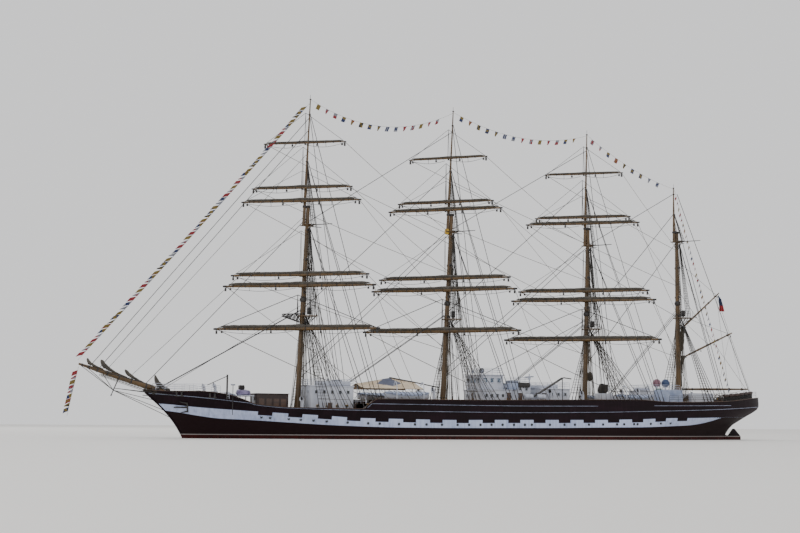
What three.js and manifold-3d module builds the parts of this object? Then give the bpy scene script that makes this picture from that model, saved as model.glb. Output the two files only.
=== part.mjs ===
import * as THREE from 'three';
import { mergeVertices } from 'three/addons/utils/BufferGeometryUtils.js';
import Module from 'manifold-3d';

// A steel four-masted barque, afloat and moored with her sails furled, as a 1:10 scale model.
// Every size below is in metres of the full-size ship, and the group at the end scales them.
// +X points to the bow, +Y to port, +Z up, and the origin is amidships on the waterline.

const wasm = await Module();
wasm.setup();

const millimetresPerShipMetre = 100;
const gap = 0.004; // what keeps two touching pieces apart
const beam = 14;
const bowEnd = 50; // beyond the stem, where the cutting outlines end
const sternEnd = -60;

const degrees = (angle) => (angle * Math.PI) / 180;

// Reads a table of [position, value] rows, in falling order of position, at any position.
function readTable(table, position) {
  let [from, to] = [table[0], table[1]];
  for (let i = 1; i < table.length; i += 1) {
    [from, to] = [table[i - 1], table[i]];
    if (position >= to[0]) break;
  }
  const share = (position - from[0]) / (to[0] - from[0]);
  return from[1] + (to[1] - from[1]) * share;
}

// Solids

function solidOf(geometry) {
  const bare = geometry.clone();
  bare.deleteAttribute('normal');
  bare.deleteAttribute('uv');
  const merged = mergeVertices(bare, 1e-5);
  const corners = [];
  const index = merged.index.array;
  for (let i = 0; i < index.length; i += 3) {
    const [a, b, c] = index.slice(i, i + 3);
    if (a !== b && b !== c && c !== a) corners.push(a, b, c);
  }
  return new wasm.Manifold(new wasm.Mesh({
    numProp: 3,
    vertProperties: new Float32Array(merged.attributes.position.array),
    triVerts: new Uint32Array(corners),
  }));
}

function geometryOf(solid) {
  const mesh = solid.getMesh();
  const geometry = new THREE.BufferGeometry();
  geometry.setAttribute('position', new THREE.BufferAttribute(mesh.vertProperties.slice(), 3));
  geometry.setIndex(new THREE.BufferAttribute(mesh.triVerts.slice(), 1));
  geometry.computeVertexNormals();
  return geometry;
}

function joined(...solids) {
  return solids.reduce((whole, solid) => whole.add(solid));
}

// A block between two opposite corners.
function block(low, high) {
  const size = high.map((value, axis) => value - low[axis]);
  const box = new THREE.BoxGeometry(...size);
  box.translate(...high.map((value, axis) => (value + low[axis]) / 2));
  return solidOf(box);
}

// A round spar from one point to another, with its radii at equal steps along it.
function spar(start, end, radii, sides = 8) {
  const from = new THREE.Vector3(...start);
  const along = new THREE.Vector3(...end).sub(from);
  const length = along.length();
  const outline = radii.map((radius, i) => new THREE.Vector2(radius, (i * length) / (radii.length - 1)));
  const closed = [new THREE.Vector2(0, 0), ...outline, new THREE.Vector2(0, length)];
  const lathe = new THREE.LatheGeometry(closed, sides);
  // One corner of the section points up, or forward on an upright spar.
  const up = Math.abs(along.normalize().z) > 0.9 ? new THREE.Vector3(1, 0, 0) : new THREE.Vector3(0, 0, 1);
  const side = new THREE.Vector3().crossVectors(along, up).normalize();
  const top = new THREE.Vector3().crossVectors(side, along);
  lathe.applyMatrix4(new THREE.Matrix4().makeBasis(side, along, top));
  lathe.translate(...start);
  return solidOf(lathe);
}

// An outline in the ship's side view, [x, z] points, as a slab across part of her breadth.
function sideSlab(outline, starboardY, portY) {
  const shape = new THREE.Shape(outline.map(([x, z]) => new THREE.Vector2(x, z)));
  const slab = new THREE.ExtrudeGeometry(shape, { depth: portY - starboardY, bevelEnabled: false });
  slab.rotateX(Math.PI / 2);
  slab.translate(0, portY, 0);
  return solidOf(slab);
}

const ship = new THREE.Group();
const finishes = {
  hullPaint: { color: 0x17151a, roughness: 0.5, metalness: 0.1 },
  sparPaint: { color: 0x8a6a2c, roughness: 0.55, metalness: 0.05 },
  whitePaint: { color: 0xc9ced6, roughness: 0.5, metalness: 0.05 },
  bronze: { color: 0x9a7a3c, roughness: 0.35, metalness: 1 },
  darkSteel: { color: 0x242426, roughness: 0.6, metalness: 0.6 },
  canvas: { color: 0xd8c8a4, roughness: 0.9, metalness: 0 },
  teak: { color: 0x7a4c26, roughness: 0.6, metalness: 0 },
};

function addPiece(name, solid, finish) {
  const mesh = new THREE.Mesh(geometryOf(solid), new THREE.MeshStandardMaterial(finishes[finish]));
  mesh.name = name;
  ship.add(mesh);
  return mesh;
}

// Hull

// The stem and the stern in side view: [height, x], from the top down.
const stemProfile = [
  [7.4, 47.85], [6.72, 47.09], [4.88, 44.92], [3.92, 43.9], [2.54, 42.65], [0.87, 41.53],
  [0, 41.1], [-3, 40.2], [-5, 39], [-6.4, 36.2], [-6.8, 33],
];
const sternProfile = [
  [7.4, -58.2], [5.54, -58.43], [3.49, -55.25], [2.2, -53], [0.5, -51.8], [-6.8, -51.8],
];
// Each level of the hull: its height, its share of the half beam amidships, and how the waterline
// narrows towards the bow and the stern, as a length and a power.
const hullLevels = [
  // height, fullness, bowLength, bowPower, sternLength, sternPower
  [-6.8, 0.045, 18, 1, 10, 1],
  [-6.55, 0.045, 18, 1, 10, 1],
  [-6.5, 0.6, 58, 1.25, 56, 1.7],
  [-5.9, 0.86, 54, 1.2, 53, 1.6],
  [-5, 0.95, 50, 1.15, 49, 1.5],
  [-3.5, 0.99, 46, 1.1, 43, 1.35],
  [-1.5, 1, 42, 1.05, 36, 1.2],
  [0.5, 1, 39, 1, 29, 1],
  [2.2, 1, 36, 0.95, 26, 0.8],
  [3.49, 1, 34, 0.9, 25, 0.68],
  [5.54, 1, 31, 0.85, 24, 0.55],
  [7.4, 0.99, 28, 0.8, 24, 0.5],
];
const hullStations = [
  0, 0.006, 0.02, 0.045, 0.085, 0.14, 0.2, 0.27, 0.36, 0.5, 0.62, 0.7, 0.77, 0.83, 0.88, 0.925, 0.96, 0.985, 1,
];

function halfBreadth(x, level) {
  const [height, fullness, bowLength, bowPower, sternLength, sternPower] = level;
  const fromStem = Math.min(1, Math.max(0, (readTable(stemProfile, height) - x) / bowLength));
  const fromStern = Math.min(1, Math.max(0, (x - readTable(sternProfile, height)) / sternLength));
  const narrowing = (1 - (1 - fromStem) ** 2) ** bowPower * (1 - (1 - fromStern) ** 2) ** sternPower;
  return (beam / 2) * fullness * narrowing;
}

// The half breadth at any place on the side, between the levels above and below it.
function sideAt(x, z) {
  const above = Math.max(1, hullLevels.findIndex((level) => level[0] > z));
  const [low, high] = [hullLevels[above - 1], hullLevels[above]];
  const share = (z - low[0]) / (high[0] - low[0]);
  return halfBreadth(x, low) * (1 - share) + halfBreadth(x, high) * share;
}

function hullEnvelope() {
  const points = [];
  const faces = [];
  const last = hullStations.length - 1;
  for (const level of hullLevels) {
    const stern = readTable(sternProfile, level[0]);
    const stem = readTable(stemProfile, level[0]);
    for (const side of [1, -1]) {
      for (const station of hullStations) {
        const x = stern + (stem - stern) * station;
        points.push(x, side * halfBreadth(x, level), level[0]);
      }
    }
  }
  const row = hullStations.length;
  const corner = (level, starboard, station) => (level * 2 + starboard) * row + station;
  for (let station = 0; station < last; station += 1) {
    for (let level = 0; level < hullLevels.length - 1; level += 1) {
      const port = [corner(level, 0, station), corner(level, 0, station + 1)];
      const portAbove = [corner(level + 1, 0, station), corner(level + 1, 0, station + 1)];
      faces.push(port[1], port[0], portAbove[0], port[1], portAbove[0], portAbove[1]);
      const board = [corner(level, 1, station), corner(level, 1, station + 1)];
      const boardAbove = [corner(level + 1, 1, station), corner(level + 1, 1, station + 1)];
      faces.push(board[0], board[1], boardAbove[0], board[1], boardAbove[1], boardAbove[0]);
    }
    const top = hullLevels.length - 1;
    const [p, q] = [corner(top, 0, station), corner(top, 0, station + 1)];
    const [s, t] = [corner(top, 1, station), corner(top, 1, station + 1)];
    faces.push(p, s, t, p, t, q);
    const [a, b] = [corner(0, 0, station), corner(0, 0, station + 1)];
    const [c, d] = [corner(0, 1, station), corner(0, 1, station + 1)];
    faces.push(a, d, c, a, b, d);
  }
  const geometry = new THREE.BufferGeometry();
  geometry.setAttribute('position', new THREE.BufferAttribute(new Float32Array(points), 3));
  geometry.setIndex(faces);
  return solidOf(geometry);
}

// The bowsprit rises forward from its heel; the stem head is cut to lie under it.
const bowsprit = { tipX: 55.97, tipZ: 10.1, slope: 0.31, heelX: 43.6, radius: 0.36, taper: [1, 1, 0.9, 0.4] };
const bowspritZ = (x) => bowsprit.tipZ - bowsprit.slope * (bowsprit.tipX - x);
const bowspritHalfDepth = bowsprit.radius * Math.hypot(1, bowsprit.slope);

const stepOfForecastle = 36;
const stepOfBridge = 16;
const stemHead = { aftX: 45.2, halfWidth: 0.44 };
// Decks in side view: [x, z] from bow to stern.
const foredeck = [[bowEnd, 6.1], [45, 5.9], [40, 5.7], [stepOfForecastle, 5.5]];
const wellDeck = [[stepOfForecastle, 3.35], [24, 3.16], [stepOfBridge, 3.12]];
const bridgeDeck = [[stepOfBridge, 5.12], [2, 5.02], [-12, 5.05], [-24, 5.15], [-38, 5.35], [-48, 5.6], [sternEnd, 6.05]];

const foreBulwarkTop = [
  [bowEnd, 6.95], [47, 6.72], [43.8, 6.53], [40, 6.55], [36.2, 6.18], [33.5, 5.38], [32, 4.85],
  [26.3, 4.43], [stepOfBridge, 4.33],
];
const aftBulwarkTop = [
  [stepOfBridge, 5.78], [-2, 5.85], [-15.8, 6.06], [-30.3, 6.26], [-36, 6.0], [-46.8, 6.22], [-57.5, 7.05],
  [sternEnd, 7.1],
];

const rudder = { x: -52.25, aftX: -54.95, lowZ: -6.5, headZ: 1.9, stockTop: 0.78, stockRadius: 0.22, halfThickness: 0.16 };
const gudgeonHeights = [-5.6, -2.9, -0.4];
const propellerShaft = { y: 2.2, z: -4.5, radius: 0.32, aftX: -48.5, foreX: -35.3 };

function hullSolid(envelope) {
  const sky = 9;
  const aboveDecks = [...foredeck, ...wellDeck, ...bridgeDeck, [sternEnd, sky], [bowEnd, sky]];
  const decked = envelope.subtract(sideSlab(aboveDecks, -beam, beam));
  const underBowsprit = (x) => [x, bowspritZ(x) - bowspritHalfDepth - gap];
  const head = envelope.intersect(sideSlab(
    [[bowEnd, wellDeck[0][1]], underBowsprit(bowEnd), underBowsprit(stemHead.aftX), [stemHead.aftX, wellDeck[0][1]]],
    -stemHead.halfWidth,
    stemHead.halfWidth,
  ));
  const { y, z, radius, aftX, foreX } = propellerShaft;
  const bossings = [1, -1].map((side) => spar([aftX, side * y, z], [foreX, side * y, z], [radius, radius + 0.1], 10));
  const gudgeons = gudgeonHeights.map((middle) => block(
    [rudder.x + rudder.stockRadius + gap, -0.12, middle - 0.2],
    [readTable(sternProfile, middle) + 0.3, 0.12, middle + 0.2],
  ));
  return joined(decked, head, ...bossings, ...gudgeons);
}

const envelope = hullEnvelope();
const bulwarkShell = envelope.subtract(envelope.scale([0.9965, 0.983, 1]));
addPiece('hull', hullSolid(envelope), 'hullPaint');

// Bulwarks stand on the decks' edges, the forward pair parted by the bowsprit.
const lift = ([x, z]) => [x, z + gap];
const shrunk = ([x, z]) => [Math.min(stepOfBridge - gap, x), z];
const foreOutline = [
  ...foreBulwarkTop.map(([x, z]) => [Math.max(stepOfBridge + gap, x), z]),
  ...[...wellDeck].reverse().map(([x, z]) => [Math.min(stepOfForecastle - gap, Math.max(stepOfBridge + gap, x)), z + gap]),
  ...[...foredeck].reverse().map(lift).map(([x, z]) => [x === stepOfForecastle ? x - gap : x, z]),
];
const aftOutline = [...aftBulwarkTop.map(shrunk), ...[...bridgeDeck].reverse().map(lift).map(shrunk)];
for (const [side, name] of [[1, 'port'], [-1, 'starboard']]) {
  const half = (outline, inner) => sideSlab(outline, ...(side > 0 ? [inner, beam] : [-beam, -inner]));
  addPiece(`fore_bulwark_${name}`, bulwarkShell.intersect(half(foreOutline, stemHead.halfWidth + gap)), 'hullPaint');
  addPiece(`aft_bulwark_${name}`, bulwarkShell.intersect(half(aftOutline, gap / 2)), 'hullPaint');
}

// Rudder and propellers

function rudderSolid() {
  const { x, aftX, lowZ, headZ, stockTop, stockRadius, halfThickness } = rudder;
  const blade = sideSlab(
    [
      [x + 0.1, lowZ], [x + 0.1, headZ - 1.4], [x - 1.15, headZ], [x - 1.5, headZ], [aftX - 0.05, 0.6],
      [aftX, -5], [aftX + 0.5, lowZ],
    ],
    -halfThickness,
    halfThickness,
  );
  return joined(blade, spar([x, 0, lowZ], [x, 0, stockTop], [stockRadius, stockRadius], 12));
}
addPiece('rudder', rudderSolid(), 'hullPaint');

function propellerSolid(hand) {
  const { y, z, radius, aftX } = propellerShaft;
  const [hubLength, bladeRadius, bladeHalfWidth, pitchAngle] = [0.7, 1.25, 0.34, 32];
  const foreX = aftX - gap;
  let whole = spar([foreX, 0, 0], [foreX - hubLength, 0, 0], [radius, radius * 0.92, radius * 0.3], 10);
  for (let blade = 0; blade < 4; blade += 1) {
    const ellipse = new THREE.Shape().absellipse(0, bladeRadius / 2, bladeHalfWidth, bladeRadius / 2);
    const plate = new THREE.ExtrudeGeometry(ellipse, { depth: 0.06, bevelEnabled: false, curveSegments: 5 });
    plate.rotateX(Math.PI / 2);
    plate.translate(0, 0.03, 0);
    plate.rotateZ(degrees(hand * (90 - pitchAngle)));
    plate.translate(foreX - hubLength / 2, 0, 0);
    plate.rotateX((blade * Math.PI) / 2);
    whole = whole.add(solidOf(plate));
  }
  return whole.translate([0, hand * y, z]);
}
addPiece('propeller_port', propellerSolid(1), 'bronze');
addPiece('propeller_starboard', propellerSolid(-1), 'bronze');

// Bowsprit, with its heel block and the dolphin striker under it

function bowspritSolid() {
  const { tipX, heelX, radius, taper } = bowsprit;
  const heelLength = 0.9;
  const radii = taper.map((share) => share * radius);
  const spike = spar([heelX, 0, bowspritZ(heelX)], [tipX, 0, bowspritZ(tipX)], radii, 12);
  const deckUnderHeel = readTable(foredeck, heelX + heelLength) + gap;
  const heelBlock = block([heelX, -0.3, deckUnderHeel], [heelX + heelLength, 0.3, bowspritZ(heelX)]);
  const striker = spar([50.35, 0, bowspritZ(50.35)], [51.1, 0, 6.55], [0.09, 0.06], 6);
  return joined(spike, heelBlock, striker);
}
addPiece('bowsprit', bowspritSolid(), 'sparPaint');

// Masts

const masts = {
  fore: { x: 24.36, rake: 2.3, topZ: 17.9, crosstreesZ: 31.4, headZ: 34.3, truckZ: 50.4, brace: 54.7 },
  main: { x: 0.94, rake: 2.7, topZ: 18.3, crosstreesZ: 31.9, headZ: 34.7, truckZ: 50.95, brace: 48.2 },
  mizzen: { x: -24.36, rake: 1.7, topZ: 17.65, crosstreesZ: 31.2, headZ: 34.1, truckZ: 49.5, brace: 53.2 },
  jigger: { x: -42.56, rake: 0.2, topZ: 20.1, crosstreesZ: 32.9, headZ: 34.6, truckZ: 41.9 },
};
// Six yards cross each square-rigged mast. The arm holds a yard clear of the shrouds abaft it.
const yardTable = [
  // name, length, radius, arm, height on the fore, main and mizzen mast
  ['course', 25.2, 0.32, 0.77, 15.95, 16.35, 15.85],
  ['lower_topsail', 23.3, 0.3, 0.6, 22.3, 22.7, 22.2],
  ['upper_topsail', 21.1, 0.27, 0.57, 23.9, 24.5, 23.7],
  ['lower_topgallant', 18.4, 0.23, 0.4, 34.9, 35.2, 34.7],
  ['upper_topgallant', 15.5, 0.2, 0.36, 36.9, 36.4, 35.7],
  ['royal', 12.7, 0.16, 0.3, 43.7, 43.4, 42.9],
];
const yardsOnLowerMast = 3;
const lowerMastRadius = { deck: 0.43, head: 0.27 };
const upperMastRadius = { heel: 0.24, truck: 0.08 };
const upperMastStep = 0.56; // the upper mast stands this far ahead of the lower one's head
const barrel = { radius: 0.12, height: 0.34 };
const lug = { thickness: 0.08, halfWidth: 0.13 };

const deckAt = (x) => {
  if (x > stepOfForecastle) return readTable(foredeck, x);
  return readTable(x > stepOfBridge ? wellDeck : bridgeDeck, x);
};
// The highest deck under a footprint, where a flat foot stands.
const deckUnder = (x, halfLength) => Math.max(...[-1, 0, 1].map((end) => deckAt(x + end * halfLength))) + gap;
const mastX = (mast, z) => mast.x - Math.tan(degrees(mast.rake)) * z;
// A raked foot stands on its after edge, so its centre is a little above the deck.
const mastFoot = (mast) => {
  const radius = lowerMastRadius.deck;
  return deckUnder(mast.x, radius) + radius * Math.tan(degrees(mast.rake));
};
const upperMastX = (mast, z) => mastX(mast, z) + upperMastStep;

function lowerRadiusAt(mast, z) {
  const foot = mastFoot(mast);
  const share = (z - foot) / (mast.headZ - foot);
  return lowerMastRadius.deck + (lowerMastRadius.head - lowerMastRadius.deck) * share;
}

function upperRadiusAt(mast, z) {
  const share = (z - mast.crosstreesZ) / (mast.truckZ - mast.crosstreesZ);
  return upperMastRadius.heel + (upperMastRadius.truck - upperMastRadius.heel) * share;
}

// Where a yard's or a boom's barrel turns: ahead of the mast (side 1) or abaft it (side -1).
function pinX(mast, z, onLower, side = 1) {
  const axis = onLower ? mastX(mast, z) : upperMastX(mast, z);
  const radius = onLower ? lowerRadiusAt(mast, z) : upperRadiusAt(mast, z);
  return axis + side * (radius + 0.3);
}

// The two lugs that hold a barrel from above and below, rooted inside the mast.
function lugs(mast, z, onLower, side = 1) {
  const axis = onLower ? mastX(mast, z) : upperMastX(mast, z);
  const reach = pinX(mast, z, onLower, side) + side * barrel.radius;
  return [1, -1].map((above) => {
    const inner = z + above * (barrel.height / 2 + gap);
    const outer = inner + above * lug.thickness;
    const [low, high] = [Math.min(inner, outer), Math.max(inner, outer)];
    return block([Math.min(axis, reach), -lug.halfWidth, low], [Math.max(axis, reach), lug.halfWidth, high]);
  });
}

const spankerSpars = {
  // heel height, end x, end height, heel radius
  spanker_boom: { heelZ: 8.3, endX: -56.73, endZ: 8.51, radius: 0.2 },
  spanker_lower_gaff: { heelZ: 13.63, endX: -53.63, endZ: 17.97, radius: 0.17 },
  spanker_upper_gaff: { heelZ: 18.61, endX: -51.09, endZ: 24.66, radius: 0.15 },
};

function lowerMastSolid(name, mast) {
  const { topZ, crosstreesZ, headZ } = mast;
  const foot = mastFoot(mast);
  const radii = [lowerMastRadius.deck, lowerMastRadius.head];
  const at = (z) => mastX(mast, z);
  const pole = spar([at(foot), 0, foot], [at(headZ), 0, headZ], radii, 12);
  const top = block([at(topZ) - 1.9, -1.6, topZ - 0.1], [at(topZ) + 0.7, 1.6, topZ]);
  const stepFront = upperMastX(mast, crosstreesZ) + 0.4;
  const trees = block([at(crosstreesZ) - 0.9, -1.1, crosstreesZ - 0.12], [stepFront, 1.1, crosstreesZ]);
  const outriggers = [1, -1].map((side) => spar(
    [at(crosstreesZ) - 0.2, side * 0.6, crosstreesZ - 0.06],
    [at(crosstreesZ) - 3.1, side * 2.3, crosstreesZ + 0.15],
    [0.09, 0.06],
    6,
  ));
  const capBottom = headZ - 0.35;
  const capFront = Math.min(upperMastX(mast, headZ), upperMastX(mast, capBottom)) - upperRadiusAt(mast, capBottom) - gap;
  const cap = block([at(headZ) - 0.3, -0.3, capBottom], [capFront, 0.3, headZ]);
  const hinges = name === 'jigger'
    ? Object.values(spankerSpars).flatMap((row) => lugs(mast, row.heelZ, true, -1))
    : yardRows(name).slice(0, yardsOnLowerMast).flatMap((row) => lugs(mast, row.z, true));
  return joined(pole, top, trees, cap, ...outriggers, ...hinges);
}

function upperMastSolid(name, mast) {
  const { crosstreesZ, truckZ } = mast;
  const foot = crosstreesZ + gap + upperMastRadius.heel * Math.tan(degrees(mast.rake));
  const at = (z) => upperMastX(mast, z);
  const pole = spar([at(foot), 0, foot], [at(truckZ), 0, truckZ], [upperMastRadius.heel, upperMastRadius.truck], 12);
  const hinges = name === 'jigger' ? [] : yardRows(name).slice(yardsOnLowerMast).flatMap((row) => lugs(mast, row.z, false));
  return joined(pole, ...hinges);
}

function yardRows(mastName) {
  const mastNumber = ['fore', 'main', 'mizzen'].indexOf(mastName);
  return yardTable.map(([name, length, radius, arm, ...heights]) => (
    { name, length, radius, arm, z: heights[mastNumber] }
  ));
}

for (const [name, mast] of Object.entries(masts)) {
  addPiece(`${name}_lower_mast`, lowerMastSolid(name, mast), 'sparPaint');
  addPiece(`${name}_upper_mast`, upperMastSolid(name, mast), 'sparPaint');
}

function barrelSolid() {
  const end = barrel.height / 2;
  return spar([0, 0, -end], [0, 0, end], [barrel.radius, barrel.radius], 10);
}

// Yards: each is a spar with its furled sail on top, held by an arm to a barrel at the mast.
// It is drawn square across the ship about its barrel, then turned to its brace.
function yardSolid({ length, radius, arm }) {
  const half = length / 2;
  const taper = [0.45, 0.85, 1, 0.85, 0.45].map((share) => share * radius);
  const stick = spar([arm, -half, 0], [arm, half, 0], taper);
  const [sailX, sailZ, sailHalf] = [arm + 0.06, radius * 1.25, half * 0.93];
  const sailRadii = [0.3, 0.9, 0.9, 0.3].map((share) => share * radius);
  const furled = spar([sailX, -sailHalf, sailZ], [sailX, sailHalf, sailZ], sailRadii, 7);
  const truss = block([0, -0.08, -0.1], [arm, 0.08, 0.1]);
  return joined(stick, furled, truss, barrelSolid());
}

for (const [mastName, mast] of Object.entries(masts)) {
  if (mastName === 'jigger') break;
  yardRows(mastName).forEach((row, i) => {
    const mesh = addPiece(`${mastName}_${row.name}_yard`, yardSolid(row), 'sparPaint');
    mesh.position.set(pinX(mast, row.z, i < yardsOnLowerMast), 0, row.z);
    mesh.rotation.z = degrees(mast.brace);
  });
}

// The spanker's boom and gaffs turn on barrels abaft the jigger mast.
for (const [name, { heelZ, endX, endZ, radius }] of Object.entries(spankerSpars)) {
  const heelX = pinX(masts.jigger, heelZ, true, -1);
  const jawLength = 0.45;
  const stick = spar(
    [-jawLength, 0, 0],
    [endX - heelX, 0, endZ - heelZ],
    [radius * 0.8, radius, radius * 0.85, radius * 0.6],
  );
  const jaw = block([-jawLength - 0.05, -0.08, -0.1], [0, 0.08, 0.1]);
  const mesh = addPiece(name, joined(stick, jaw, barrelSolid()), 'sparPaint');
  mesh.position.set(heelX, 0, heelZ);
}

// Deckhouses

// A house on the deck between two places along the ship, a little narrower at its roof's edge.
function house(foreX, aftX, halfWidth, roofZ, camber = 0.12) {
  const floor = deckUnder((foreX + aftX) / 2, (foreX - aftX) / 2);
  const outline = [
    [-halfWidth, floor], [halfWidth, floor], [halfWidth, roofZ - camber], [halfWidth * 0.5, roofZ],
    [-halfWidth * 0.5, roofZ], [-halfWidth, roofZ - camber],
  ];
  const shape = new THREE.Shape(outline.map(([y, z]) => new THREE.Vector2(y, z)));
  const body = new THREE.ExtrudeGeometry(shape, { depth: foreX - aftX, bevelEnabled: false });
  body.rotateX(Math.PI / 2);
  body.rotateZ(Math.PI / 2);
  body.translate(aftX, 0, 0);
  return solidOf(body);
}

const bridgeHouse = { foreX: -4.5, aftX: -9.6, halfWidth: 3.2, roofZ: 7.6 };
const poopHouse = { foreX: -34.7, aftX: -40.9, roofZ: 8 };
addPiece('fore_deckhouse', house(23.1, 16.4, 2.6, 7.8), 'whitePaint');
const chartHouse = { foreX: -9.5, aftX: -13.3, halfWidth: 2.4, roofZ: 8.67 };
addPiece('bridge_house', joined(
  house(bridgeHouse.foreX, bridgeHouse.aftX, bridgeHouse.halfWidth, bridgeHouse.roofZ, 0),
  house(chartHouse.foreX, chartHouse.aftX, chartHouse.halfWidth, chartHouse.roofZ),
), 'whitePaint');
addPiece('midship_house', house(-14.6, -20, 3, 8), 'whitePaint');
addPiece('poop_house', house(poopHouse.foreX, poopHouse.aftX, 2.8, poopHouse.roofZ), 'whitePaint');
addPiece('poop_skylight', house(-44.4, -48, 1.7, 7.3), 'whitePaint');

// The wheelhouse is hollow, with windows on all four sides and a door opening aft.
function wheelhouseSolid() {
  const [foreX, aftX, halfWidth, roofZ] = [-4.6, -8.4, 2.5, 9.77];
  const floor = bridgeHouse.roofZ + gap;
  const wall = 0.12;
  let walls = block([aftX, -halfWidth, floor], [foreX, halfWidth, roofZ]);
  walls = walls.subtract(block(
    [aftX + wall, -halfWidth + wall, floor + wall],
    [foreX - wall, halfWidth - wall, roofZ - wall],
  ));
  const [sillZ, headZ, windowWidth] = [floor + 1.0, floor + 1.75, 0.72];
  for (let i = 0; i < 4; i += 1) {
    const y = -1.74 + i * 1.16;
    walls = walls.subtract(block([aftX - 1, y - windowWidth / 2, sillZ], [foreX + 1, y + windowWidth / 2, headZ]));
  }
  for (const x of [-5.3, -6.5, -7.7]) {
    walls = walls.subtract(block([x - windowWidth / 2, -halfWidth - 1, sillZ], [x + windowWidth / 2, halfWidth + 1, headZ]));
  }
  const brow = 0.25;
  const roof = block([aftX - brow, -halfWidth - brow, roofZ - wall / 2], [foreX + brow, halfWidth + brow, roofZ + 0.1]);
  return joined(walls, roof);
}
addPiece('wheelhouse', wheelhouseSolid(), 'whitePaint');

// Boats on their chocks

function boatSolid(length, halfWidth, keelZ, deckZ) {
  const rows = [
    // share along, share of breadth, keel rise
    [0, 0.25, 0.5], [0.12, 0.7, 0.15], [0.35, 1, 0], [0.65, 1, 0], [0.88, 0.7, 0.15], [1, 0.25, 0.5],
  ];
  const height = 1.15;
  const ring = (share, breadth, rise) => {
    const x = (share - 0.5) * length;
    const w = halfWidth * breadth;
    return [
      [x, 0, rise * 0.6], [x, w * 0.7, rise * 0.6 + 0.2], [x, w, height * 0.75], [x, 0, height + 0.35],
      [x, -w, height * 0.75], [x, -w * 0.7, rise * 0.6 + 0.2],
    ].flat();
  };
  const points = rows.flatMap((row) => ring(...row));
  const faces = [];
  const sides = 6;
  for (let i = 0; i < rows.length - 1; i += 1) {
    for (let j = 0; j < sides; j += 1) {
      const next = (j + 1) % sides;
      const [a, b] = [i * sides + j, i * sides + next];
      const [c, d] = [a + sides, b + sides];
      faces.push(a, b, d, a, d, c);
    }
  }
  const end = (rows.length - 1) * sides;
  for (let j = 1; j < sides - 1; j += 1) {
    faces.push(0, j + 1, j, end, end + j, end + j + 1);
  }
  const geometry = new THREE.BufferGeometry();
  geometry.setAttribute('position', new THREE.BufferAttribute(new Float32Array(points), 3));
  geometry.setIndex(faces);
  const shell = solidOf(geometry).translate([0, 0, keelZ]);
  const chockHeight = keelZ - deckZ - gap;
  const chocks = [-0.25, 0.25].map((share) => block(
    [share * length - 0.1, -halfWidth * 0.6, -chockHeight + keelZ],
    [share * length + 0.1, halfWidth * 0.6, keelZ + 0.3],
  ));
  return joined(shell, ...chocks);
}

for (const [row, x] of [['fore', 9], ['aft', -30.4]]) {
  for (const [side, y] of [['port', 5.2], ['starboard', -5.2]]) {
    const deckZ = deckUnder(x, 2) - gap;
    addPiece(`${row}_boat_${side}`, boatSolid(7.2, 1.15, deckZ + 0.45, deckZ).translate([x, y, 0]), 'whitePaint');
  }
}

// The ridged awning over the deck ahead of the main mast, on stanchions, its ridge falling both ways
// from a peak
function awningSolid() {
  const [foreX, aftX, halfWidth, ridgeZ, eavesZ, cloth] = [15.1, 5.5, 3.6, 9.05, 7.35, 0.07];
  const peak = { x: 9.6, foreFall: 0.95, aftFall: 0.65 };
  const section = [
    [-halfWidth, eavesZ], [0, ridgeZ], [halfWidth, eavesZ], [halfWidth, eavesZ + cloth],
    [0, ridgeZ + cloth], [-halfWidth, eavesZ + cloth],
  ];
  const shape = new THREE.Shape(section.map(([y, z]) => new THREE.Vector2(y, z)));
  const roof = new THREE.ExtrudeGeometry(shape, { depth: foreX - aftX, steps: 2, bevelEnabled: false });
  roof.rotateX(Math.PI / 2);
  roof.rotateZ(Math.PI / 2);
  roof.translate(aftX, 0, 0);
  const corners = roof.getAttribute('position');
  for (let i = 0; i < corners.count; i += 1) {
    const fromMiddle = corners.getX(i) - (foreX + aftX) / 2;
    const onRidge = Math.abs(corners.getY(i)) < 0.01;
    if (Math.abs(fromMiddle) < 0.01) corners.setX(i, peak.x);
    else if (onRidge) corners.setZ(i, corners.getZ(i) - (fromMiddle > 0 ? peak.foreFall : peak.aftFall));
  }
  const posts = [foreX - 0.3, (foreX + aftX) / 2, aftX + 0.3].flatMap((x) => [1, -1].map((side) => spar(
    [x, side * (halfWidth - 0.15), deckAt(x) + gap],
    [x, side * (halfWidth - 0.15), eavesZ + 0.08],
    [0.06, 0.06],
    6,
  )));
  return joined(solidOf(roof), ...posts);
}
addPiece('awning', awningSolid(), 'canvas');

// Gear on deck

function capstanSolid(x) {
  const deckZ = deckUnder(x, 0.55);
  return spar([x, 0, deckZ], [x, 0, deckZ + 1.05], [0.55, 0.32, 0.3, 0.42], 12);
}
addPiece('capstan', capstanSolid(39), 'darkSteel');

function steeringWheelSolid(x) {
  const deckZ = deckUnder(x, 0.4);
  const [rimRadius, rimThickness, axleZ] = [0.8, 0.07, deckZ + 1.0];
  const wheel = (offset) => {
    const rim = new THREE.TorusGeometry(rimRadius, rimThickness / 2, 5, 12);
    rim.rotateY(Math.PI / 2);
    rim.translate(x + offset, 0, axleZ);
    const spokes = [0, 1, 2].map((i) => {
      const [y, z] = [Math.cos((i * Math.PI) / 3) * rimRadius, Math.sin((i * Math.PI) / 3) * rimRadius];
      return spar([x + offset, -y, axleZ - z], [x + offset, y, axleZ + z], [0.03, 0.03], 6);
    });
    return joined(solidOf(rim), ...spokes);
  };
  const axle = spar([x - 0.75, 0, axleZ], [x + 0.75, 0, axleZ], [0.07, 0.07], 8);
  const box = block([x - 0.4, -0.45, deckZ], [x + 0.4, 0.45, axleZ + 0.3]);
  return joined(box, axle, wheel(0.65), wheel(-0.65));
}
addPiece('steering_wheel', steeringWheelSolid(-51), 'teak');

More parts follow.
